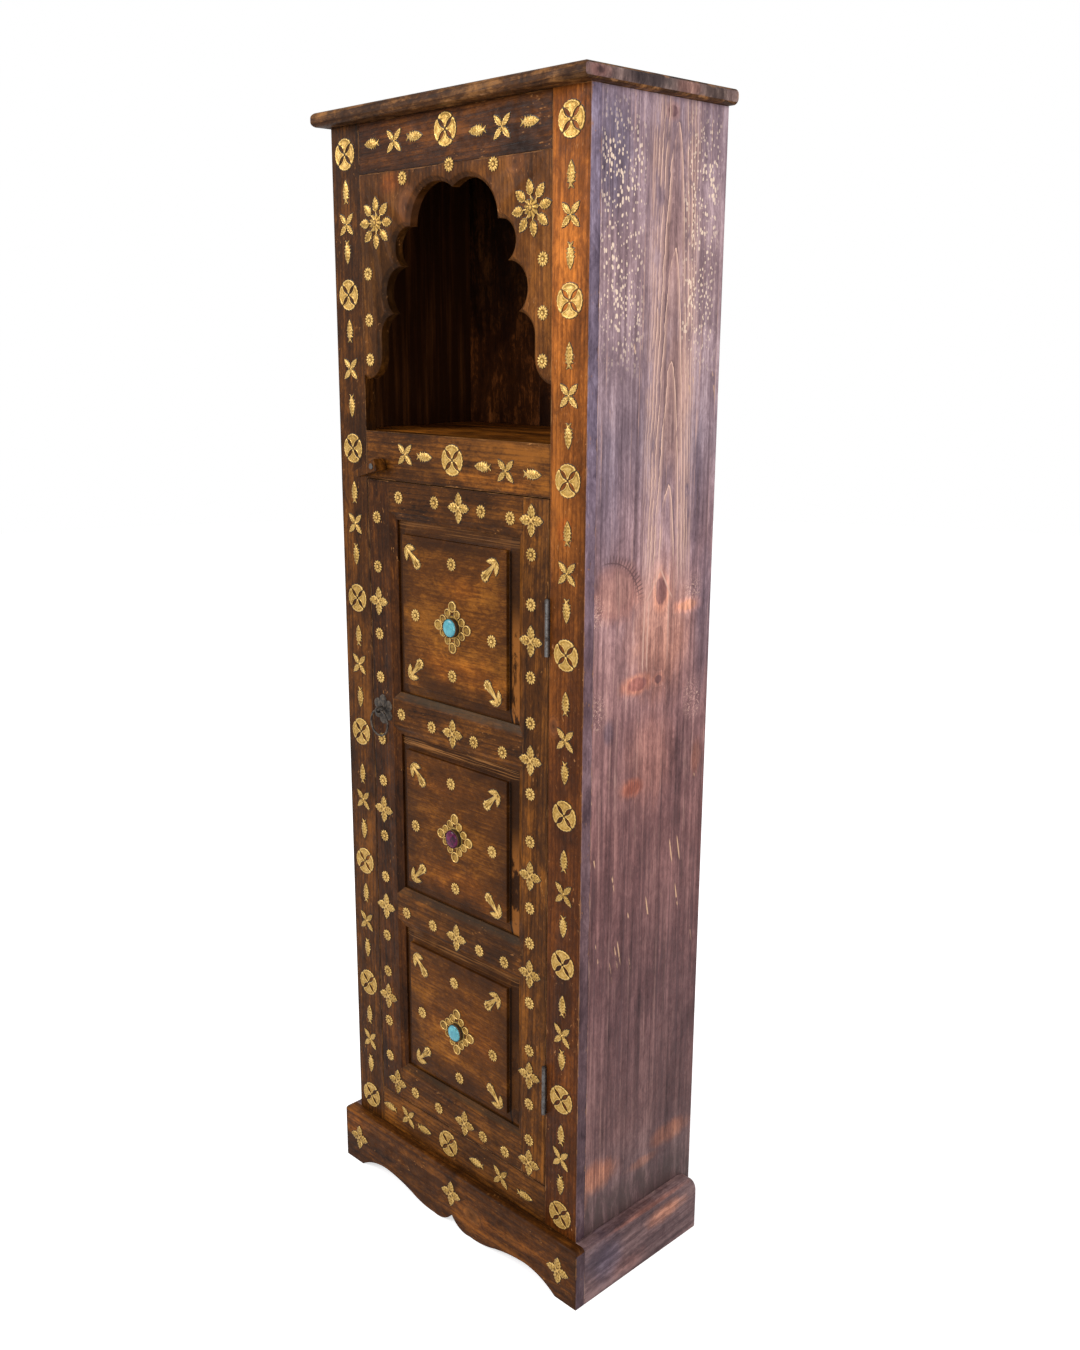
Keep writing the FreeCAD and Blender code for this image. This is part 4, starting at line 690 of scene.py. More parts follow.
def dress(piece, node, material):
    # the piece takes the node's place and body and the given material, and the node is hidden
    piece.data.materials.clear()
    piece.data.materials.append(material)
    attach(piece, cadNodes[node]["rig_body"])
    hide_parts(node)
    return piece


# Boards: stain, grain direction and seed of each. Patches multiply the stain round a spot, and so do knots with
# shades of their own; the other knots have a halo and a heart
bright, ruddy, dim = (2.3, 2.2, 2.0), (2.2, 1.5, 1.1), (0.3, 0.28, 0.26)
stains = {
    "frame": {"dark": (0.016, 0.005, 0.0008), "mid": (0.076, 0.0235, 0.003), "light": (0.235, 0.078, 0.009),
              "worn": (0.28, 0.12, 0.035), "rim": 0.007, "smoke": 0.5, "streaks": 1.4, "cloud": 1.8,
              "fleck": (0.36, 0.15, 0.04)},
    "warm": {"dark": (0.030, 0.009, 0.001), "mid": (0.110, 0.034, 0.005), "light": (0.280, 0.095, 0.014),
             "worn": (0.34, 0.15, 0.05), "rim": 0.005, "rimLevel": 0.4, "smoke": 0.3, "heart": (0.05, 0.018, 0.008),
             "halo": (0.26, 0.090, 0.03), "fleck": (0.46, 0.20, 0.07)},
    "panel": {"dark": (0.024, 0.007, 0.0008), "mid": (0.108, 0.032, 0.003), "light": (0.340, 0.118, 0.012),
              "face": -0.1295, "smoke": 0.35, "ring": 0.14, "cloud": 1.5, "streaks": 0.35,
              # seam is the colour of the painted shadow at the panel's right step
              "rubbed": (0.30, 0.125, 0.034), "bare": (0.30, 0.105, 0.020), "seam": (0.008, 0.003, 0.001),
              "lineScale": (7, 1, 380), "bareScale": (50, 1, 17)},
    "inside": {"dark": (0.006, 0.002, 0.001), "mid": (0.034, 0.011, 0.003), "light": (0.250, 0.084, 0.020),
               "cloud": 1.4, "streaks": 0.8, "ring": 0.12,
               "wash": (0.045, 0.018, 0.007), "washLight": (0.105, 0.042, 0.014),
               # in the niche these tints are brightest near its floor and fall to a tenth at its top: painted light
               # coming in and painted shade under its top
               "tints": ((0.0, (1, 1, 1)), (0.72, (2.3, 2.1, 2.0)), (0.80, (1.5, 1.3, 1.2)), (0.86, (0.55, 0.55, 0.55)),
                         (1.0, (0.1, 0.1, 0.1)))},
    # lavender colours, and tints that lighten and cool the board upward: partly the stain, partly painted reflection of
    # the sky
    "side": {"dark": (0.085, 0.052, 0.064), "mid": (0.240, 0.160, 0.180), "light": (0.500, 0.360, 0.380),
             "sideways": True, "face": 0.269,
             "worn": (0.44, 0.28, 0.22), "cloud": 1.3, "smoke": 0.3, "ring": 0.2, "gloss": 0.16,
             "streaks": 1.9, "knotRagged": 1.3, "knotPush": 6,
             "tints": ((0.0, (0.54, 0.46, 0.42)), (0.10, (0.56, 0.47, 0.42)), (0.14, (0.52, 0.38, 0.33)),
                       (0.25, (0.48, 0.33, 0.30)), (0.42, (0.70, 0.46, 0.40)), (0.51, (0.98, 0.71, 0.63)),
                       (0.57, (1.19, 0.93, 0.81)), (0.64, (1.24, 1.07, 1.01)),
                       (0.74, (1.00, 1.02, 1.06)), (0.87, (1.26, 1.22, 1.18)), (0.98, (1.16, 1.18, 1.22)))},
    "top": {"dark": (0.014, 0.005, 0.002), "mid": (0.075, 0.028, 0.008), "light": (0.290, 0.125, 0.036),
            "worn": (0.40, 0.19, 0.08), "wornReach": 0.006, "wornLevel": 0.6, "cloud": 2.4, "smoke": 0.7},
}
sideKnots = (
    (0.099, 1.083, 0.022, 0.009, 1.0, (1.5, 1.35, 1.2), (1.1, 1.02, 0.82)),
    (0.036, 1.112, 0.014, 0.024, 0.9, (1.3, 1.15, 1.0), (0.42, 0.40, 0.52)),
    (-0.058, 1.122, 0.034, 0.030, 0.9, (1.45, 1.22, 1.0), (1.22, 1.26, 1.2)),
    (-0.012, 0.981, 0.024, 0.011, 1.0, (1.4, 1.22, 1.05), (0.66, 0.60, 0.72)),
    (0.036, 0.980, 0.009, 0.007, 0.8, (1.2, 1.1, 1.0), (0.42, 0.42, 0.55)),
    (-0.017, 0.824, 0.016, 0.011, 0.9, (1.45, 1.15, 0.95), (0.85, 0.75, 0.72)),
    (0.033, 1.760, 0.011, 0.009, 0.9, (1.25, 1.05, 0.9), (0.50, 0.42, 0.46)),
)
otherKnots = tuple((across * 0.8 + 0.01, 1.85 - up, *rest) for across, up, *rest in sideKnots)
boards = {
    "top_board": ("top", "x", 1.0, {}),
    "left_side": ("side", "z", 2.0, {
        "knots": otherKnots, "face": -0.269, "pith": (0.33, 0.03, 0), "lean": (0, 0.010, 0)}),
    "right_side": ("side", "z", 3.0, {"knots": sideKnots, "pith": (-0.33, -0.036, 0), "lean": (0, -0.010, 0)}),
    "back_plank_left": ("inside", "z", 4.0, {"lift": 0.52}),
    "back_plank_middle": ("inside", "z", 5.0, {"lift": 0.52}),
    "back_plank_right": ("inside", "z", 6.0, {
        "lift": 0.62, "face": 0.13, "patches": ((0.15, 1.36, 0.12, 0.08, (2.2, 2.0, 1.7), 0.9),)}),
    "niche_floor": ("frame", "x", 7.0, {"lift": 0.55, "rim": 0.003, "shade": (2.2, 2.1, 1.9)}),
    "cabinet_floor": ("inside", "x", 8.0, {}),
    "upper_shelf": ("inside", "x", 9.0, {}),
    "lower_shelf": ("inside", "x", 10.0, {}),
    "shelf_cleats": ("inside", "y", 11.0, {}),
    "frame_left_stile": ("frame", "z", 12.0, {"lift": 0.5, "shade": (0.75, 0.73, 0.7)}),
    "frame_right_stile": ("warm", "z", 13.0, {
        "knots": ((0.212, 0.929, 0.008, 0.011, 0.8),),
        # the tints darken the stile low down and brighten it strongly near its top: painted light
        "tints": ((0.0, (0.70, 0.58, 0.5)), (0.3, (0.68, 0.56, 0.5)), (0.5, (0.68, 0.56, 0.5)),
                  (0.62, (0.95, 0.85, 0.8)), (0.8, (2.1, 1.9, 1.85)), (0.9, (2.4, 2.15, 2.1)), (0.98, (1.7, 1.5, 1.5))),
        "patches": ((0.231, 1.21, 0.016, 0.024, ruddy, 0.4), (0.225, 0.5, 0.04, 0.12, dim, 0.5))}),
    "frame_top_rail": ("frame", "x", 14.0, {"lift": 0.5, "shade": (0.7, 0.62, 0.6), "patches": (
        (0.146, 1.713, 0.05, 0.012, dim, 0.7), (-0.15, 1.76, 0.10, 0.02, bright, 0.4))}),
    "frame_middle_rail": ("frame", "x", 15.0, {"lift": 0.62, "patches": ((0.10, 1.27, 0.10, 0.02, bright, 0.5),)}),
    "frame_bottom_rail": ("frame", "x", 16.0, {"lift": 0.55}),
    "arch_board": ("warm", "z", 17.0, {
        "smoke": 0.5, "shade": (0.88, 0.88, 0.9),
        "knots": ((0.132, 1.697, 0.014, 0.012, 0.7), (-0.094, 1.655, 0.014, 0.018, 0.8)),
        "patches": ((-0.16, 1.56, 0.07, 0.16, (0.55, 0.62, 0.75), 0.9), (-0.13, 1.690, 0.03, 0.018, ruddy, 0.45),
                    (0.175, 1.59, 0.05, 0.13, (1.7, 1.75, 1.8), 0.7))}),
    "plinth_front": ("frame", "x", 18.0, {
        "lift": 0.5, "shade": (0.8, 0.76, 0.74), "face": -0.1475, "knots": ((0.05, 0.046, 0.016, 0.010, 0.6),),
        "heart": (0.03, 0.01, 0.004), "halo": (0.22, 0.085, 0.02),
        "patches": ((-0.26, 0.075, 0.05, 0.03, bright, 0.6), (0.06, 0.04, 0.06, 0.03, bright, 0.5),
                    (0.0, 0.085, 0.02, 0.02, dim, 0.9), (0.22, 0.05, 0.08, 0.03, bright, 0.3))}),
    "plinth_left": ("side", "y", 19.0, {"lift": 0.45, "cloud": 1.8}),
    "plinth_right": ("side", "y", 20.0, {"smoke": 0.5, "cloud": 1.8, "lift": 0.6, "face": 0.289, "patches": (
        (0.02, 0.097, 0.12, 0.005, (1.9, 1.35, 1.0), 0.9), (0.070, 0.070, 0.055, 0.018, (2.4, 1.75, 1.15), 0.9),
        (-0.02, 0.02, 0.05, 0.02, (1.8, 1.4, 1.2), 0.5), (-0.08, 0.06, 0.05, 0.05, (0.72, 0.9, 1.25), 0.8))}),
    "door_left_stile": ("frame", "z", 21.0, {"lift": 0.4, "shade": (0.8, 0.74, 0.8)}),
    "door_right_stile": ("frame", "z", 22.0, {"lift": 0.55}),
    "door_top_rail": ("frame", "x", 23.0, {"lift": 0.47}),
    "door_upper_rail": ("frame", "x", 24.0, {"lift": 0.5}),
    "door_lower_rail": ("frame", "x", 25.0, {"lift": 0.5}),
    "door_bottom_rail": ("frame", "x", 26.0, {"lift": 0.5}),
    "door_upper_panel": ("panel", "x", 27.0, {"lift": 0.55, "rubLevel": 0.35, "bareLevel": 0.8, "patches": (
        (0.02, 0.972, 0.11, 0.030, (1.9, 1.8, 1.6), 0.9), (0.01, 1.105, 0.05, 0.022, (1.7, 1.6, 1.4), 0.7),
        (0.0, 1.165, 0.13, 0.016, dim, 0.6))}),
    "door_middle_panel": ("panel", "x", 28.0, {
        "lift": 0.41, "rubLevel": 0.8, "bareLevel": 0.7, "shade": (0.9, 0.9, 0.9),
        "patches": ((0.0, 0.62, 0.11, 0.035, (1.8, 1.7, 1.5), 0.8), (-0.03, 0.78, 0.10, 0.02, (1.5, 1.45, 1.3), 0.6))}),
    "door_lower_panel": ("panel", "x", 29.0, {"lift": 0.53, "rubLevel": 0.5, "bareLevel": 0.12, "patches": (
        (0.03, 0.36, 0.10, 0.04, (1.6, 1.5, 1.3), 0.7), (-0.09, 0.29, 0.04, 0.03, dim, 0.6))}),
    "turn_button": ("frame", "z", 30.0, {"lift": 0.3}),
}
# colours of the painted sheen on each door rail's upward bevel
bevelSheenColours = {"door_upper_rail": (0.045, 0.031, 0.016), "door_lower_rail": (0.028, 0.018, 0.009),
               "door_bottom_rail": (0.030, 0.018, 0.008)}
easeWidth = 0.8 * mm
seam = 0.05 * mm
panelRim = 28 * mm
frontFace, panelReach = -127.5 * mm, 268.5 * mm
topReach = 0.2838
# the top board's end faces: the sideways look with tints of their own, its lavender a painted sky reflection, and spots
topEnds = {
    "face": 0.284,
    "tints": ((0.0, (0.7, 0.7, 0.6)), (1.0, (0.81, 0.78, 0.62))),
    "spots": ((-0.132, 1.79, 0.022, 0.012, (2.1, 1.6, 1.5), 0.8),
              (-0.128, 1.79, 0.008, 0.006, (0.3, 0.3, 0.34), 0.9),
              (-0.03, 1.792, 0.050, 0.014, (0.30, 0.33, 0.36), 0.85),
              (0.045, 1.79, 0.026, 0.012, (1.7, 1.35, 1.2), 0.8),
              (0.105, 1.79, 0.028, 0.012, (0.38, 0.38, 0.36), 0.8)),
}
# the look of the front boards' sideways faces: the side stain, tinted lighter and bluer upward as a painted sky
# reflection
worn = {**plainBoard, **stains["side"], "streaks": 1.2, "cloud": 2.0, "smoke": 0.4, "lift": 0.42,
        "tints": ((0.0, (0.34, 0.30, 0.32)), (0.30, (0.42, 0.34, 0.34)), (0.55, (0.80, 0.70, 0.70)),
                  (0.75, (0.75, 0.82, 1.0)), (1.0, (0.8, 0.9, 1.1)))}
for node, (stain, grain, seed, special) in boards.items():
    look = {**plainBoard, **stains[stain], "grain": grain, "seed": seed, **special}
    for tone in ("dark", "mid", "light"):
        look[tone] = tuple(level * share for level, share in zip(look[tone], look["shade"]))
    low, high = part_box(node)
    features = []
    if node in ("left_side", "right_side"):
        features = [sideStain(side), innerFaces(panelReach, stains["inside"])]
    elif node in ("frame_left_stile", "frame_right_stile", "plinth_front"):
        features = [outerFaces(max(high[0], -low[0]), worn)]
    elif node.startswith("back_plank"):
        features = [backFaces(high[1], look)]
    elif node == "top_board":
        features = [outerFaces(topReach, {**worn, **topEnds})]
    elif node == "arch_board":
        features = [deepFaces(frontFace, 0.5)]
    elif node in bevelSheenColours:
        features = [bevelSheen(frontFace, (low[2] + high[2]) / 2, bevelSheenColours[node])]
    elif stain == "panel":
        rim = Vector((panelRim, 0, panelRim))
        look["field"] = (tuple(low + rim), tuple(high - rim))
        features = [panelStain(look)]
    material = makePine(node + "_pine", look, (low, high), features)
    piece = copyOf(node, "_board")
    if node == "back_plank_middle":
        closeSeams(piece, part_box("back_plank_left")[1][0] + seam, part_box("back_plank_right")[0][0] - seam)
    dress(ease(piece, easeWidth), node, material)
print("boards dressed:", len(boards))


# Shapes are kept as arrays in millimetres: points, four-sided and three-sided faces, and how dark each point is.
# They lie against the plane y = 0 and stand out towards -y
def blankShape(points, quads, tris, dark):
    tris = np.asarray(tris, dtype=np.int64).reshape(-1, 3)
    return {"points": points, "quads": np.asarray(quads, dtype=np.int64).reshape(-1, 4), "tris": tris, "dark": dark}


def joined(shapes):
    starts = np.cumsum([0] + [len(shape["points"]) for shape in shapes])
    return {
        "points": np.concatenate([shape["points"] for shape in shapes]),
        "quads": np.concatenate([shape["quads"] + start for shape, start in zip(shapes, starts)]),
        "tris": np.concatenate([shape["tris"] + start for shape, start in zip(shapes, starts)]),
        "dark": np.concatenate([shape["dark"] for shape in shapes]),
    }


def copies(shape, spots):
    # one copy at each (x, y, z, degrees), turned clockwise as seen from the front
    spots = np.asarray(spots, dtype=float).reshape(-1, 4)
    turn = np.radians(spots[:, 3])[:, None]
    x, y, z = shape["points"].T
    points = np.stack([
        x * np.cos(turn) + z * np.sin(turn) + spots[:, :1],
        y + spots[:, 1:2],
        z * np.cos(turn) - x * np.sin(turn) + spots[:, 2:3],
    ], axis=-1).reshape(-1, 3)
    starts = (np.arange(len(spots)) * len(x))[:, None, None]
    return blankShape(points, shape["quads"] + starts, shape["tris"] + starts, np.tile(shape["dark"], len(spots)))


def closedRings(rings, levels, dark):
    # a solid of revolution-like shape: rings (n, k, 2) from the middle outwards and down, closed at both ends
    count, around = rings.shape[:2]
    first, last = rings[0].mean(axis=0), rings[-1].mean(axis=0)
    flat = np.concatenate([first[None], rings.reshape(-1, 2), last[None]])
    heights = np.concatenate([levels[0].mean(keepdims=True), levels.ravel(), levels[-1].mean(keepdims=True)])
    shade = np.concatenate([dark[0].mean(keepdims=True), dark.ravel(), dark[-1].mean(keepdims=True)])
    points = np.stack([flat[:, 0], -heights, flat[:, 1]], axis=1)
    here = 1 + np.arange(count * around).reshape(count, around)
    after = np.roll(here, -1, axis=1)
    quads = np.stack([here[:-1], here[1:], after[1:], after[:-1]], axis=-1)
    end = len(points) - 1
    caps = [np.stack([np.zeros(around, dtype=int), here[0], after[0]], axis=1),
            np.stack([np.full(around, end), after[-1], here[-1]], axis=1)]
    return blankShape(points, quads, np.concatenate(caps), shade)


def relief(outline, height, centre=(0, 0), cores=(), steps=(0.3, 0.55, 0.75, 0.9, 1), skirt=1.2):
    # a pressed plate inside an outline that turns anticlockwise as seen from the front. height gives the level and
    # the darkness of points from their place and their share of the way out. A thin dark skirt stays on the wood:
    # painted contact shadow, with some grime, where the plate meets it
    outline, centre = np.asarray(outline, dtype=float), np.asarray(centre, dtype=float)
    if centre.shape == (2, 2):
        # a spine from one point to another: each point of the outline closes in on its own height along it
        centre = np.stack([0 * outline[:, 1], np.clip(outline[:, 1], *centre[:, 1])], axis=1)
    away = outline - centre
    reach = np.linalg.norm(away, axis=1, keepdims=True)
    rings = [centre + away / reach * core for core in cores] + [centre + away * step for step in steps]
    shares = np.array([0.0] * len(cores) + list(steps))[:, None] * np.ones(len(outline))
    rings = np.array(rings)
    levels, dark = height(rings[..., 0], rings[..., 1], shares)
    along = np.roll(outline, -1, axis=0) - np.roll(outline, 1, axis=0)
    outward = np.stack([along[:, 1], -along[:, 0]], axis=1) / np.linalg.norm(along, axis=1, keepdims=True)
    foot, hem = outline + outward * 0.06, outline + outward * skirt
    rings = np.concatenate([rings, foot[None], hem[None]])
    around = np.ones((1, len(outline)))
    levels = np.concatenate([levels, around * 0.12, around * -0.03])
    dark = np.concatenate([dark, around, around])
    return closedRings(rings, levels, dark)


def mirrored(half):
    # the whole outline from its right half, given from the lowest point to the highest
    half = np.asarray(half, dtype=float)
    left = half[::-1] * (-1, 1)
    return np.concatenate([half, left[np.abs(left[:, 0]) > 1e-6]])


def leafOutline(start, end, width, teeth=5, tooth=0.3):
    # a leaf pointing up, plump near its start and pointed at its end, with saw teeth towards the tip
    notch = np.arange(1, teeth) / teeth
    way = np.concatenate([[0, 0.04, 0.1], *([spot - 0.01, spot + 0.035, spot + 0.11] for spot in notch), [0.97, 1]])
    rise = np.concatenate([[0, 0, 0.3], *([1, -0.2, 0.4] for _ in notch), [0.3, 0]])
    across = way**0.7 * (1 - way)**0.95
    across = across / across.max() * width / 2 * (1 + tooth * (rise - 0.5))
    return mirrored(np.stack([across, start + (end - start) * way], axis=1))


def circleOutline(radius, count=24, lobes=0, depth=0.0, centre=(0, 0)):
    way = np.linspace(0, 2 * np.pi, count, endpoint=False)
    far = radius * (1 - depth / 2 + depth / 2 * np.cos(lobes * way))
    return np.stack([centre[0] + far * np.cos(way), centre[1] + far * np.sin(way)], axis=1)


def solidsOf(node):
    # the points of each separate solid of a CAD piece, in millimetres, found by passing labels along the faces
    data = cadNodes[node].data
    points = np.empty(len(data.vertices) * 3)
    data.vertices.foreach_get("co", points)
    corners = np.empty(len(data.loops), dtype=np.int64)
    data.loops.foreach_get("vertex_index", corners)
    spots, merged = np.unique(np.round(points.reshape(-1, 3) * 1e6).astype(np.int64), axis=0, return_inverse=True)
    corners = merged.reshape(-1)[corners].reshape(-1, 3)
    labels, before = np.arange(len(spots)), None
    while before is None or (labels != before).any():
        before = labels.copy()
        np.minimum.at(labels, corners.ravel(), np.repeat(labels[corners].min(axis=1), 3))
        labels = labels[labels]
    return [spots[labels == label] / 1000 for label in np.unique(labels)]


def spotOf(points):
    # where an ornament stands: the middle of its outline, on the wood behind it
    low, high = points.min(axis=0), points.max(axis=0)
    return ((low[0] + high[0]) / 2, high[1], (low[2] + high[2]) / 2)


def addPiece(name, shape, node, material):
    mesh = bpy.data.meshes.new(name)
    points = shape["points"] * mm
    corners = np.concatenate([shape["quads"].ravel(), shape["tris"].ravel()])
    fours, threes = len(shape["quads"]), len(shape["tris"])
    starts = np.concatenate([np.arange(fours) * 4, fours * 4 + np.arange(threes) * 3])
    mesh.vertices.add(len(points))
    mesh.vertices.foreach_set("co", points.ravel())
    mesh.loops.add(len(corners))
    mesh.loops.foreach_set("vertex_index", corners.astype(np.int32))
    mesh.polygons.add(len(starts))
    mesh.polygons.foreach_set("loop_start", starts.astype(np.int32))
    mesh.update(calc_edges=True)
    mesh.validate()
    smooth(mesh, 50)
    shade = mesh.attributes.new("dark", "FLOAT", "POINT")
    shade.data.foreach_set("value", shape["dark"].astype(np.float32))
    return dress(link(name, mesh), node, material)


def spotsOf(node, turn=lambda points: 0):
    # where each of a node's ornaments stands, and how far it's turned
    return [(*spotOf(points), turn(points)) for points in solidsOf(node)]


# Brass: pale gold with brown in the hollows, and nearly black where a piece meets the wood, which is painted
# contact shadow with some grime
brass = {
    "pale": (0.68, 0.44, 0.143),
    "gold": (0.42, 0.240, 0.050),
    "brown": (0.105, 0.048, 0.011),
    "black": (0.010, 0.004, 0.002),
}


def makeBrass(look):
    material, g = startMaterial("brass")
    place = g.place()
    patina = g.noise(place, 140, 4, 1, 0.6)
    broad = g.noise(place, 14, 3, 2, 0.6)
    grain = g.noise(place, 900, 2, 3, 0.5)
    dark = g.add("ShaderNodeAttribute", output="Fac", attribute_name="dark")
    deep = dark + (patina - 0.5 + (broad - 0.5) * 0.8) * 0.6
    colour = g.mix(g.ramp(deep, 0.0, 0.3), look["pale"], look["gold"])
    colour = g.mix(g.ramp(deep, 0.28, 0.56), colour, look["brown"])
    # nearly black on the skirts round each piece: painted contact shadow with some grime
    colour = g.mix(g.ramp(dark, 0.75, 1.0), colour, look["black"])
    metallic, rough = g.ramp(dark, 0.6, 0.95, 0.75, 0.0), g.ramp(patina, 0.3, 0.7, 0.34, 0.55)
    g.shade({"Base Color": colour, "Metallic": metallic, "Roughness": rough}, grain + patina, 0.35, 0.0006)
    return material


brassMaterial = makeBrass(brass)


def addBrass(name, shape, node, turn=lambda points: 0):
    addPiece(name, copies(shape, spotsOf(node, turn)), node, brassMaterial)


def pillow(edge, top, flutes=0.0, count=0, shade=0.0):
    # level and darkness of a plate that swells from its edge to its middle, with flutes fanning out
    def height(x, z, share):
        fan = np.cos(count * np.arctan2(x, z))
        level = edge + (top - edge) * (1 - share**2.2) + flutes * fan * share
        return level, np.clip(shade * (0.5 - 0.5 * fan) * share + 0.25 * (share > 0.97), 0, 1)
    return height


# a punched dot: a raised ring round a dark hollow
def dotHeight(x, z, share):
    level = np.interp(share, (0, 0.4, 0.62, 0.8, 1), (-0.15, -0.15, 0.1, 0.28, 0.02))
    return level + 0.2, np.interp(share, (0, 0.4, 0.7, 1), (0.75, 0.75, 0.0, 0.2))


dot = relief(circleOutline(1.7, 9), dotHeight, steps=(0.4, 0.72, 1), skirt=0.1)


def raised(shape, level):
    return {**shape, "points": shape["points"] - (0, level, 0)}


def petal(start, end, width, teeth=5, edge=0.9, top=1.9, share=0.42, dotSize=1.1, tone=0.06):
    # a leaf with a ridge along it, ribs to its teeth and a punched dot
    middle = start + (end - start) * share

    def height(x, z, reach):
        ridge = np.exp(-(x / (width * 0.12))**2) * 0.35
        ribs = np.cos((z - np.abs(x) * 0.8 - start) / (end - start) * teeth * 2 * np.pi)
        level = edge + (top - edge) * (1 - reach**2) + (ridge + 0.25 * ribs) * (reach > 0.2) + 0.4 * (reach == 0.86)
        hollow = tone + 0.4 * (ribs < -0.45)
        return level, hollow * (reach < 0.8) + 0.1 * (reach > 0.97)

    spine = ((0, start + 0.2 * (end - start)), (0, start + 0.7 * (end - start)))
    leaf = relief(leafOutline(start, end, width, teeth), height, spine, steps=(0.25, 0.5, 0.7, 0.86, 1))
    mark = {**dot, "points": dot["points"] * (dotSize, 1, dotSize) + (0, -(top - 0.3), middle)}
    return joined([leaf, mark])


def spinning(shape, count, start=0):
    return copies(shape, [(0, 0, 0, start + 360 / count * index) for index in range(count)])


# Discs: four fans with scalloped rims, parted by lens-shaped slits; three punched dots on each
disc = {"radius": 23.5, "hub": 2.2, "slit": 3.0, "gap": 0.4, "notch": 1.5, "scallops": 6, "scallopDepth": 0.9}


def makeDisc(look):
    radius, hub = look["radius"], look["hub"]
    far = np.linspace(hub, radius * 0.96, 12)
    wide = look["gap"] + look["slit"] * np.sin(np.pi * np.clip((far - hub) / (radius * 0.86 - hub), 0, 1))**0.85
    wide += look["notch"] * np.clip((far / radius - 0.86) / 0.1, 0, 1)**1.5
    half = np.sqrt(0.5)
    flank = np.stack([far * half - wide * half, far * half + wide * half], axis=1)
    turns = np.linspace(np.arctan2(*flank[-1]), 0, 12)[1:]
    rim = radius - look["scallopDepth"] * np.abs(np.sin(turns * look["scallops"] * 2))
    outer = np.stack([rim * np.sin(turns), rim * np.cos(turns)], axis=1)
    start = np.array([[0, hub * 0.9]])
    outline = mirrored(np.concatenate([start, flank, outer]))

    def height(x, z, share):
        level = np.interp(share, (0, 0.5, 0.7, 0.82, 0.92, 1), (1.5, 1.35, 1.05, 1.7, 1.6, 0.9))
        return level, np.interp(share, (0, 0.6, 0.7, 0.82, 0.92, 1), (0.14, 0.18, 0.36, 0.05, 0.03, 0.3))

    fan = relief(outline, height, (0, radius * 0.62), steps=(0.35, 0.7, 0.82, 0.92, 1), skirt=0.9)
    marks = copies(raised(dot, 1.1), [(0, 0, radius * 0.8, 0), (-5.5, 0, radius * 0.66, 0), (5.5, 0, radius * 0.66, 0)])
    return spinning(joined([fan, marks]), 4)


addBrass("brassDiscs", makeDisc(disc), "frame_discs")

# Fish: nose, gill, back fins, tail; an eye and rows of scales
fish = {
    "length": 35,
    "width": 16,
    "shares": ((0, -0.82), (0.28, -0.92), (0.64, -1), (0.48, -0.86), (0.26, -0.74), (0.3, -0.64), (0.52, -0.56),
               (0.98, -0.52), (0.62, -0.4), (0.66, -0.3), (1, -0.24), (0.7, -0.12), (0.72, -0.02), (1, 0.06),
               (0.72, 0.17), (0.72, 0.3), (0.66, 0.46), (0.52, 0.62), (0.34, 0.77), (0.16, 0.9), (0, 1)),
}


def makeFish(look):
    half = np.array(look["shares"]) * (look["width"] / 2, look["length"] / 2)

    def height(x, z, share):
        scales = np.cos(z * 1.35 - np.abs(x) * 0.5)
        tail = z < -look["length"] * 0.3
        level = 0.9 + 1.3 * (1 - share**2) + 0.3 * scales * (share > 0.1)
        return level - 0.4 * tail * (share < 0.9), (0.04 + 0.42 * (scales < -0.45)) * (share < 0.9)

    spine = ((0, -look["length"] * 0.36), (0, look["length"] * 0.3))
    body = relief(mirrored(half), height, spine, steps=(0.25, 0.45, 0.65, 0.85, 1))
    eye = copies(raised(dot, 1.5), [(0.6, 0, look["length"] * 0.27, 0)])
    return joined([body, eye])


def fishTurn(points):
    # the nose is the end with no width
    low, high = points.min(axis=0), points.max(axis=0)
    axis = 2 if high[2] - low[2] > high[0] - low[0] else 0
    near = points[:, axis] > high[axis] - 1
    pointed = np.ptp(points[near][:, 2 - axis]) < 6
    return {(2, True): 0, (2, False): 180, (0, True): 90, (0, False): -90}[(axis, bool(pointed))]


addBrass("brassFish", makeFish(fish), "frame_fish", fishTurn)

# Crosses and stars of four leaves
crossLeaf = {"start": 1.4, "end": 22, "width": 9.0, "top": 1.7, "share": 0.5, "dotSize": 0.9}
starLeaf = {"start": 0.8, "end": 23.4, "width": 14.0, "teeth": 4, "top": 2.1, "share": 0.46, "dotSize": 1.2,
            "tone": 0.14}
hubDome = relief(circleOutline(3.2, 14), pillow(0.9, 2.3), steps=(0.35, 0.7, 1), skirt=0.2)
crossShape = joined([spinning(petal(**crossLeaf), 4, 45), {**hubDome, "points": hubDome["points"] * (0.6, 0.85, 0.6)}])
starShape = joined([spinning(petal(**starLeaf), 4), hubDome])
for name, shape, node in (("brassCrosses", crossShape, "frame_crosses"),
                          ("brassPlinthStars", starShape, "plinth_stars"),
                          ("brassDoorStars", starShape, "door_stars")):
    addBrass(name, shape, node)

# Rosettes: twelve petals round a button
rosette = {"radius": 10.3, "petals": 12}


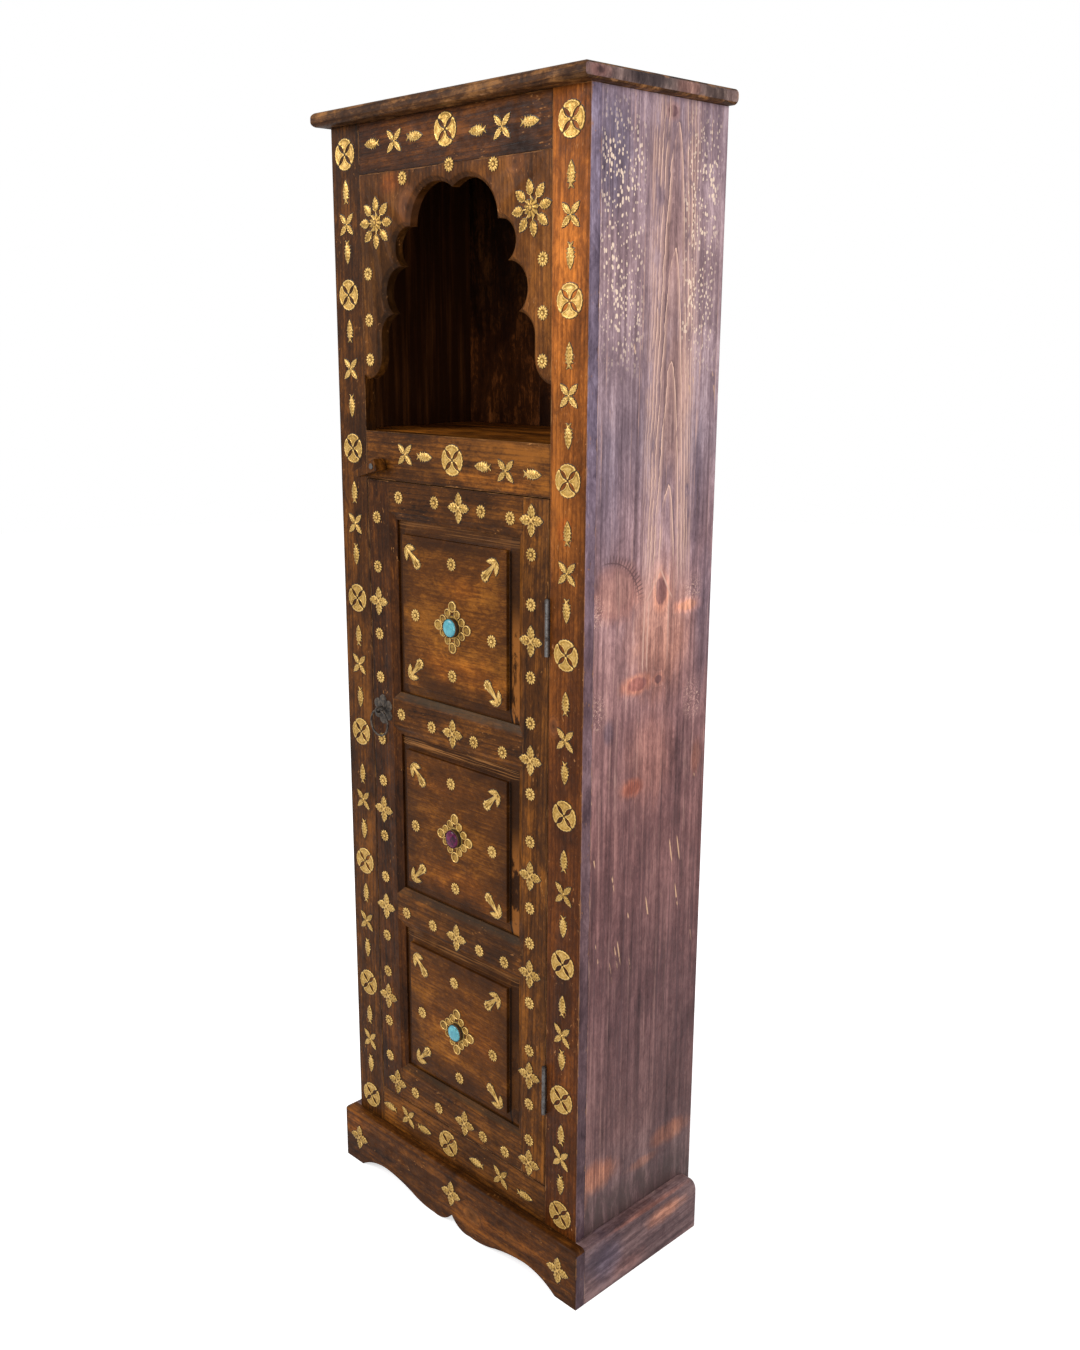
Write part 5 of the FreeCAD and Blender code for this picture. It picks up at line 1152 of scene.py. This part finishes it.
def makeRosette(look):
    def height(x, z, share):
        fan = np.cos(look["petals"] * np.arctan2(z, x))
        level = np.interp(share, (0, 0.12, 0.26, 0.36, 0.5, 0.85, 1), (1.2, 1.3, 2.0, 1.2, 1.5, 1.6, 0.9))
        level = level + 0.4 * fan * np.clip((share - 0.35) * 2, 0, 1)
        hollow = 0.55 * (np.abs(share - 0.36) < 0.05) + 0.08 * (share < 0.9) + 0.4 * (fan < -0.4) * (share > 0.4)
        return level, hollow

    outline = circleOutline(look["radius"], look["petals"] * 4, look["petals"], 0.24)
    return relief(outline, height, steps=(0.13, 0.26, 0.36, 0.55, 0.82, 1), skirt=0.6)


rosetteShape = makeRosette(rosette)
for node, name in (("arch_rosettes", "brassArchRosettes"), ("door_rosettes", "brassDoorRosettes"),
                   ("panel_rosettes", "brassPanelRosettes")):
    spots = [(*spotOf(points), 15 * index) for index, points in enumerate(solidsOf(node))]
    addPiece(name, copies(rosetteShape, spots), node, brassMaterial)

# Sunflowers: eight toothed petals on short stems round a domed boss with nine teeth
sunflower = {
    "petal": {"start": 15.8, "end": 37.6, "width": 13.4, "top": 2.0, "tone": 0.2},
    "bossRadius": 13.8,
    "bossTeeth": 9,
    "bossTop": 4.4,
    "stem": ((0.9, 9), (0.9, 18.5), (-0.9, 18.5), (-0.9, 9)),
    "turns": ((-1, 0), (1, -8)),
}


def makeSunflower(look):
    leaf = petal(**look["petal"])
    stem = relief(look["stem"], pillow(0.6, 1.1), (0, 14), steps=(0.6, 1), skirt=0.4)

    def height(x, z, share):
        fan = np.cos(look["bossTeeth"] * np.arctan2(z, x))
        dome = np.interp(share, (0, 0.2, 0.3, 0.36, 0.7, 1), (look["bossTop"], 4.2, 3.4, 3.7, 2.6, 1.2))
        level = dome + 0.5 * fan * np.clip((share - 0.3) * 2, 0, 1)
        return level, 0.5 * (np.abs(share - 0.3) < 0.04) + 0.22 * (share < 0.9) + 0.4 * (fan < -0.3) * (share > 0.4)

    outline = circleOutline(look["bossRadius"], look["bossTeeth"] * 4, look["bossTeeth"], 0.26)
    boss = relief(outline, height, steps=(0.18, 0.3, 0.4, 0.6, 0.8, 1))
    return joined([spinning(joined([leaf, stem]), 8), boss])


flowerPoints = np.concatenate(solidsOf("arch_sunflowers"))
sunflowerSpots = [(*spotOf(flowerPoints[flowerPoints[:, 0] * hand > 0]), turn) for hand, turn in sunflower["turns"]]
addPiece("brassSunflowers", copies(makeSunflower(sunflower), sunflowerSpots), "arch_sunflowers", brassMaterial)

# Tulips: a bell with beads at its mouth, and two leaves swept back from its stalk
tulip = {
    "bell": ((0, -21.4), (1.7, -22.3), (3.2, -21.2), (4.1, -20.2), (5.9, -20.3), (7.0, -18.6), (5.8, -16.8),
             (8.1, -15.2), (8.0, -12.8), (6.2, -11.8), (5.3, -8), (4.2, -3), (3.1, 3), (2.3, 9), (1.4, 15), (0, 18.5)),
    "beads": ((0, -19.2), (4.3, -17.8), (-4.3, -17.8), (5.7, -14), (-5.7, -14)),
    "leaf": {"start": 0, "end": 21, "width": 8.6, "teeth": 4, "share": 0.5, "dotSize": 0.8},
    "leafTurn": 140,
    "apex": 19,
    "stretch": (1.06, 1, 1.07),
}


def makeTulip(look):
    def height(x, z, share):
        ribs = np.cos(np.arctan2(x, z + 30) * 24)
        return 0.9 + 1.2 * (1 - share**2) + 0.3 * ribs * (share > 0.2), (0.06 + 0.42 * (ribs < -0.3)) * (share < 0.9)

    bell = relief(mirrored(look["bell"]), height, ((0, -17), (0, 12)), steps=(0.3, 0.55, 0.8, 1))
    bead = relief(circleOutline(1.9, 9), pillow(0.3, 1.3, shade=0.2), steps=(0.45, 0.8, 1), skirt=0.3)
    beads = copies(raised(bead, 1.2), [(x, 0, z, 0) for x, z in look["beads"]])
    leaves = copies(petal(**look["leaf"]), [(0, 0, look["apex"], hand * look["leafTurn"]) for hand in (-1, 1)])
    whole = joined([bell, beads, leaves])
    return {**whole, "points": whole["points"] * look["stretch"]}


def tulipTurn(points):
    # the apex leans out to the nearest corner of the panel
    x, _, z = spotOf(points)
    middles = [spotOf(other)[2] for other in solidsOf("stone_flowers")]
    middle = min(middles, key=lambda height: abs(height - z))
    return (1 if x > 0 else -1) * (45 if z > middle else 135)


addBrass("brassTulips", makeTulip(tulip), "panel_tulips", tulipTurn)

# Stone flowers: twelve rimmed loops round a dark toothed collar that holds the stone
flower = {"large": 9, "largePitch": 32, "small": 7.2, "smallPitch": 23.5, "smallTurn": 26.6, "setting": 18}
# each ring of the collar: its share of the radius, its level, how far its teeth stand out, how dark it is
collar = {"radius": 15.2, "teeth": 30, "rings": ((0.5, 6.0, 0, 1), (0.93, 6.4, 0, 1), (0.955, 7.9, 0.5, 0.85),
                                                 (0.99, 7.6, 0.5, 0.8), (1.0, 4.0, 0, 0.97), (1.02, 0.8, 0, 1))}


def rimmed(x, z, share):
    level = np.interp(share, (0, 0.6, 0.7, 0.84, 0.93, 1), (0.8, 0.75, 0.9, 2.2, 2.0, 0.9))
    return level, np.interp(share, (0, 0.55, 0.7, 0.82, 0.97, 1), (0.34, 0.34, 0.6, 0.0, 0.0, 0.2))


def makeFlower(look, ring):
    loops = []
    small = (look["small"], look["smallPitch"])
    for radius, pitch, turn in ((look["large"], look["largePitch"], 0), (*small, look["smallTurn"]),
                                (*small, -look["smallTurn"])):
        loop = relief(circleOutline(radius, 24) * (0.92, 1) + (0, pitch), rimmed, (0, pitch),
                      steps=(0.35, 0.6, 0.7, 0.84, 0.93, 1), skirt=0.6)
        loops.append(spinning(loop, 4, turn))
    plate = relief(circleOutline(look["setting"], 36), pillow(0.8, 1.1), steps=(0.5, 1))
    way = np.linspace(0, 2 * np.pi, ring["teeth"] * 2, endpoint=False)
    tooth = np.cos(ring["teeth"] * way)
    reaches, heights, teeth, darks = (np.array(column)[:, None] for column in zip(*ring["rings"]))
    far = reaches * ring["radius"] * np.ones(len(way))
    levels = heights + teeth * tooth
    rings = np.stack([far * np.cos(way), far * np.sin(way)], axis=-1)
    wall = closedRings(rings, levels, darks * np.ones(len(way)))
    return joined(loops + [plate, wall])


addBrass("brassStoneFlowers", makeFlower(flower, collar), "stone_flowers")
print("brass ornaments placed")

# Stones: low domes held by the collar
stone = {
    "profile": ((0.12, 9.5), (0.4, 9.35), (0.62, 9.0), (0.8, 8.45), (0.92, 7.7), (1.0, 6.6), (1.0, 5.0)),
    "radius": 13.7,
    "around": 48,
}


def makeStone(look):
    way = np.linspace(0, 2 * np.pi, look["around"], endpoint=False)
    far, level = np.array(look["profile"]).T
    rings = np.stack([np.cos(way), np.sin(way)], axis=-1)[None] * far[:, None, None] * look["radius"]
    return closedRings(rings, level[:, None] * np.ones(len(way)), np.zeros((len(far), len(way))))


turquoise = {
    "deep": (0.030, 0.220, 0.290),
    "pale": (0.100, 0.400, 0.440),
    "vein": (0.05, 0.12, 0.09),
    "surface": {"Roughness": 0.32, "Coat Weight": 0.4, "Coat Roughness": 0.12},
}
garnet = {
    "deep": (0.022, 0.002, 0.013),
    "pale": (0.14, 0.006, 0.055),
    "surface": {"Roughness": 0.25, "Specular IOR Level": 0.2, "Coat Weight": 0.1, "Coat Roughness": 0.08},
}


def makeTurquoise(look):
    material, g = startMaterial("turquoiseStone")
    place = g.place()
    broad = g.noise(place, 90, 4, 1, 0.6, 0.6)
    wander = place + g.noise(place, 130, 3, 4, output="Color") * (0.006, 0.006, 0.006)
    cracks = g.add("ShaderNodeTexVoronoi", {"Vector": wander, "Scale": 110}, 0, feature="DISTANCE_TO_EDGE")
    colour = g.mix(g.ramp(broad, 0.3, 0.7), look["deep"], look["pale"])
    veins = g.ramp(cracks, 0.05, 0.0) * g.ramp(broad, 0.4, 0.65, 0.3, 0.8)
    g.shade({"Base Color": g.mix(veins, colour, look["vein"]), **look["surface"]})
    return material


def makeGarnet(look):
    material, g = startMaterial("garnetStone")
    broad = g.noise(g.place(), 120, 4, 2, 0.6, 0.8)
    colour = g.mix(g.ramp(broad, 0.35, 0.7), look["deep"], look["pale"])
    g.shade({"Base Color": colour, **look["surface"]})
    return material


stoneShape = makeStone(stone)
for node, name, material in (("turquoise_stones", "turquoiseStones", makeTurquoise(turquoise)),
                             ("garnet_stone", "garnetStone", makeGarnet(garnet))):
    addPiece(name, copies(stoneShape, spotsOf(node)), node, material)
print("stones set")

# Iron pull: a plate of six domed lobes with a raised eye, the staple and its ring
pull = {"pitch": 15.8, "lobe": 8.7, "around": 72, "wire": 1.7, "stapleWire": 1.6, "bend": 4.0, "bendSteps": 17,
        "cadWire": 1.5, "ringSteps": 64}


def makePlate(look):
    way = np.linspace(0, 2 * np.pi, look["around"], endpoint=False)
    turn = (way + np.pi / 6) % (np.pi / 3) - np.pi / 6
    far = look["pitch"] * np.cos(turn) + np.sqrt(look["lobe"]**2 - (look["pitch"] * np.sin(turn))**2)
    outline = np.stack([far * np.sin(-way), far * np.cos(way)], axis=1)

    def height(x, z, share):
        angle = (np.arctan2(x, z) + np.pi / 6) % (np.pi / 3) - np.pi / 6
        reach = np.hypot(x, z)
        across, along = reach * np.sin(angle), reach * np.cos(angle)
        lobe = 1 - np.clip(np.hypot(across, along - look["pitch"]) / look["lobe"], 0, 1)**2
        boss = 3.2 * np.exp(-(reach / 5.5)**2)
        return 1.0 + 1.6 * lobe + boss, 0.5 + 0 * share

    return relief(outline, height, steps=(0.12, 0.26, 0.4, 0.52, 0.64, 0.76, 0.88, 1), skirt=0.4)


def tube(path, radius, sides=14, loop=False):
    # a round wire along a path that lies in a plane; open ends are closed by flat caps
    path = np.asarray(path, dtype=float)
    along = np.roll(path, -1, axis=0) - np.roll(path, 1, axis=0)
    if not loop:
        along[0], along[-1] = path[1] - path[0], path[-1] - path[-2]
    along /= np.linalg.norm(along, axis=1, keepdims=True)
    square = np.cross(path[1] - path[0], path[len(path) // 2] - path[0])
    square /= np.linalg.norm(square)
    aside = np.cross(along, square)
    way = np.linspace(0, 2 * np.pi, sides, endpoint=False)
    level, over = np.cos(way)[:, None], np.sin(way)[:, None]
    points = path[:, None] + radius * (level * aside[:, None] + over * square)
    here = np.arange(len(path) * sides).reshape(len(path), sides)
    if loop:
        nearer, farther = here, np.roll(here, -1, axis=0)
    else:
        nearer, farther = here[:-1], here[1:]
    quads = np.stack([nearer, np.roll(nearer, -1, axis=1), np.roll(farther, -1, axis=1), farther], axis=-1)
    points = points.reshape(-1, 3)
    tris = np.zeros((0, 3), dtype=int)
    if not loop:
        ends = len(points) + np.arange(2)
        points = np.concatenate([points, path[:1], path[-1:]])
        tris = np.concatenate([np.stack([np.full(sides, ends[0]), np.roll(here[0], -1), here[0]], axis=1),
                               np.stack([np.full(sides, ends[1]), here[-1], np.roll(here[-1], -1)], axis=1)])
    return blankShape(points, quads, tris, np.full(len(points), 0.4))


iron = {
    "scale": 150,
    "worn": (0.4, 0.65),
    "first": (0.035, 0.028, 0.024),
    "second": (0.13, 0.10, 0.075),
    "metallic": 0.7,
    "rough": (0.35, 0.6),
    "bump": (0.5, 0.0008),
}


def makeMetal(name, look):
    material, g = startMaterial(name)
    patina = g.noise(g.place(), look["scale"], 4, 1, 0.65)
    colour = g.mix(g.ramp(patina, *look["worn"]), look["first"], look["second"])
    rough = g.ramp(patina, 0.3, 0.7, *look["rough"])
    g.shade({"Base Color": colour, "Metallic": look["metallic"], "Roughness": rough}, patina, *look["bump"])
    return material


def boxOf(node):
    low, high = (np.array(corner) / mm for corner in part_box(node))
    return low, high, (low + high) / 2


def staplePath(look, x, low, high, middle):
    # two legs from the wood and a bow in front of the plate
    bow = np.linspace(-np.pi / 2, np.pi / 2, look["bendSteps"])
    y = low[1] + look["bend"] + look["cadWire"] - look["bend"] * np.cos(bow)
    z = middle[2] + look["bend"] * np.sin(bow)
    path = np.stack([np.full(len(bow), x), y, z], axis=1)
    return np.concatenate([[(x, high[1], z[0])], path, [(x, high[1], z[-1])]])


def ringPath(look, low, high, middle):
    turns = np.linspace(0, 2 * np.pi, look["ringSteps"], endpoint=False)
    reach = (high[0] - low[0]) / 2 - look["cadWire"]
    return middle + reach * np.stack([np.cos(turns), 0 * turns, np.sin(turns)], axis=1)


ironMaterial = makeMetal("blackIron", iron)
_, plateHigh, plateMiddle = boxOf("pull_plate")
plate = copies(makePlate(pull), [(plateMiddle[0], plateHigh[1], plateMiddle[2], 0)])
staple = tube(staplePath(pull, plateMiddle[0], *boxOf("pull_staple")), pull["stapleWire"])
ring = tube(ringPath(pull, *boxOf("pull_ring")), pull["wire"], loop=True)
for name, shape, node in (("ironPlate", plate, "pull_plate"), ("ironStaple", staple, "pull_staple"),
                          ("ironRing", ring, "pull_ring")):
    addPiece(name, shape, node, ironMaterial)
print("pull hung")

# Steel: hinges, screws, the button's nail and washer
steel = {
    "scale": 160,
    "worn": (0.42, 0.66),
    "first": (0.15, 0.14, 0.135),
    "second": (0.06, 0.045, 0.038),
    "metallic": 0.85,
    "rough": (0.32, 0.55),
    "bump": (0.3, 0.0004),
}
steelEase = 0.15 * mm
steelMaterial = makeMetal("greySteel", steel)
for node, slot in slots.items():
    if slot == "hinge_steel":
        dress(ease(copyOf(node, "_steel"), steelEase, 1), node, steelMaterial)
print("hinges and nail dressed")
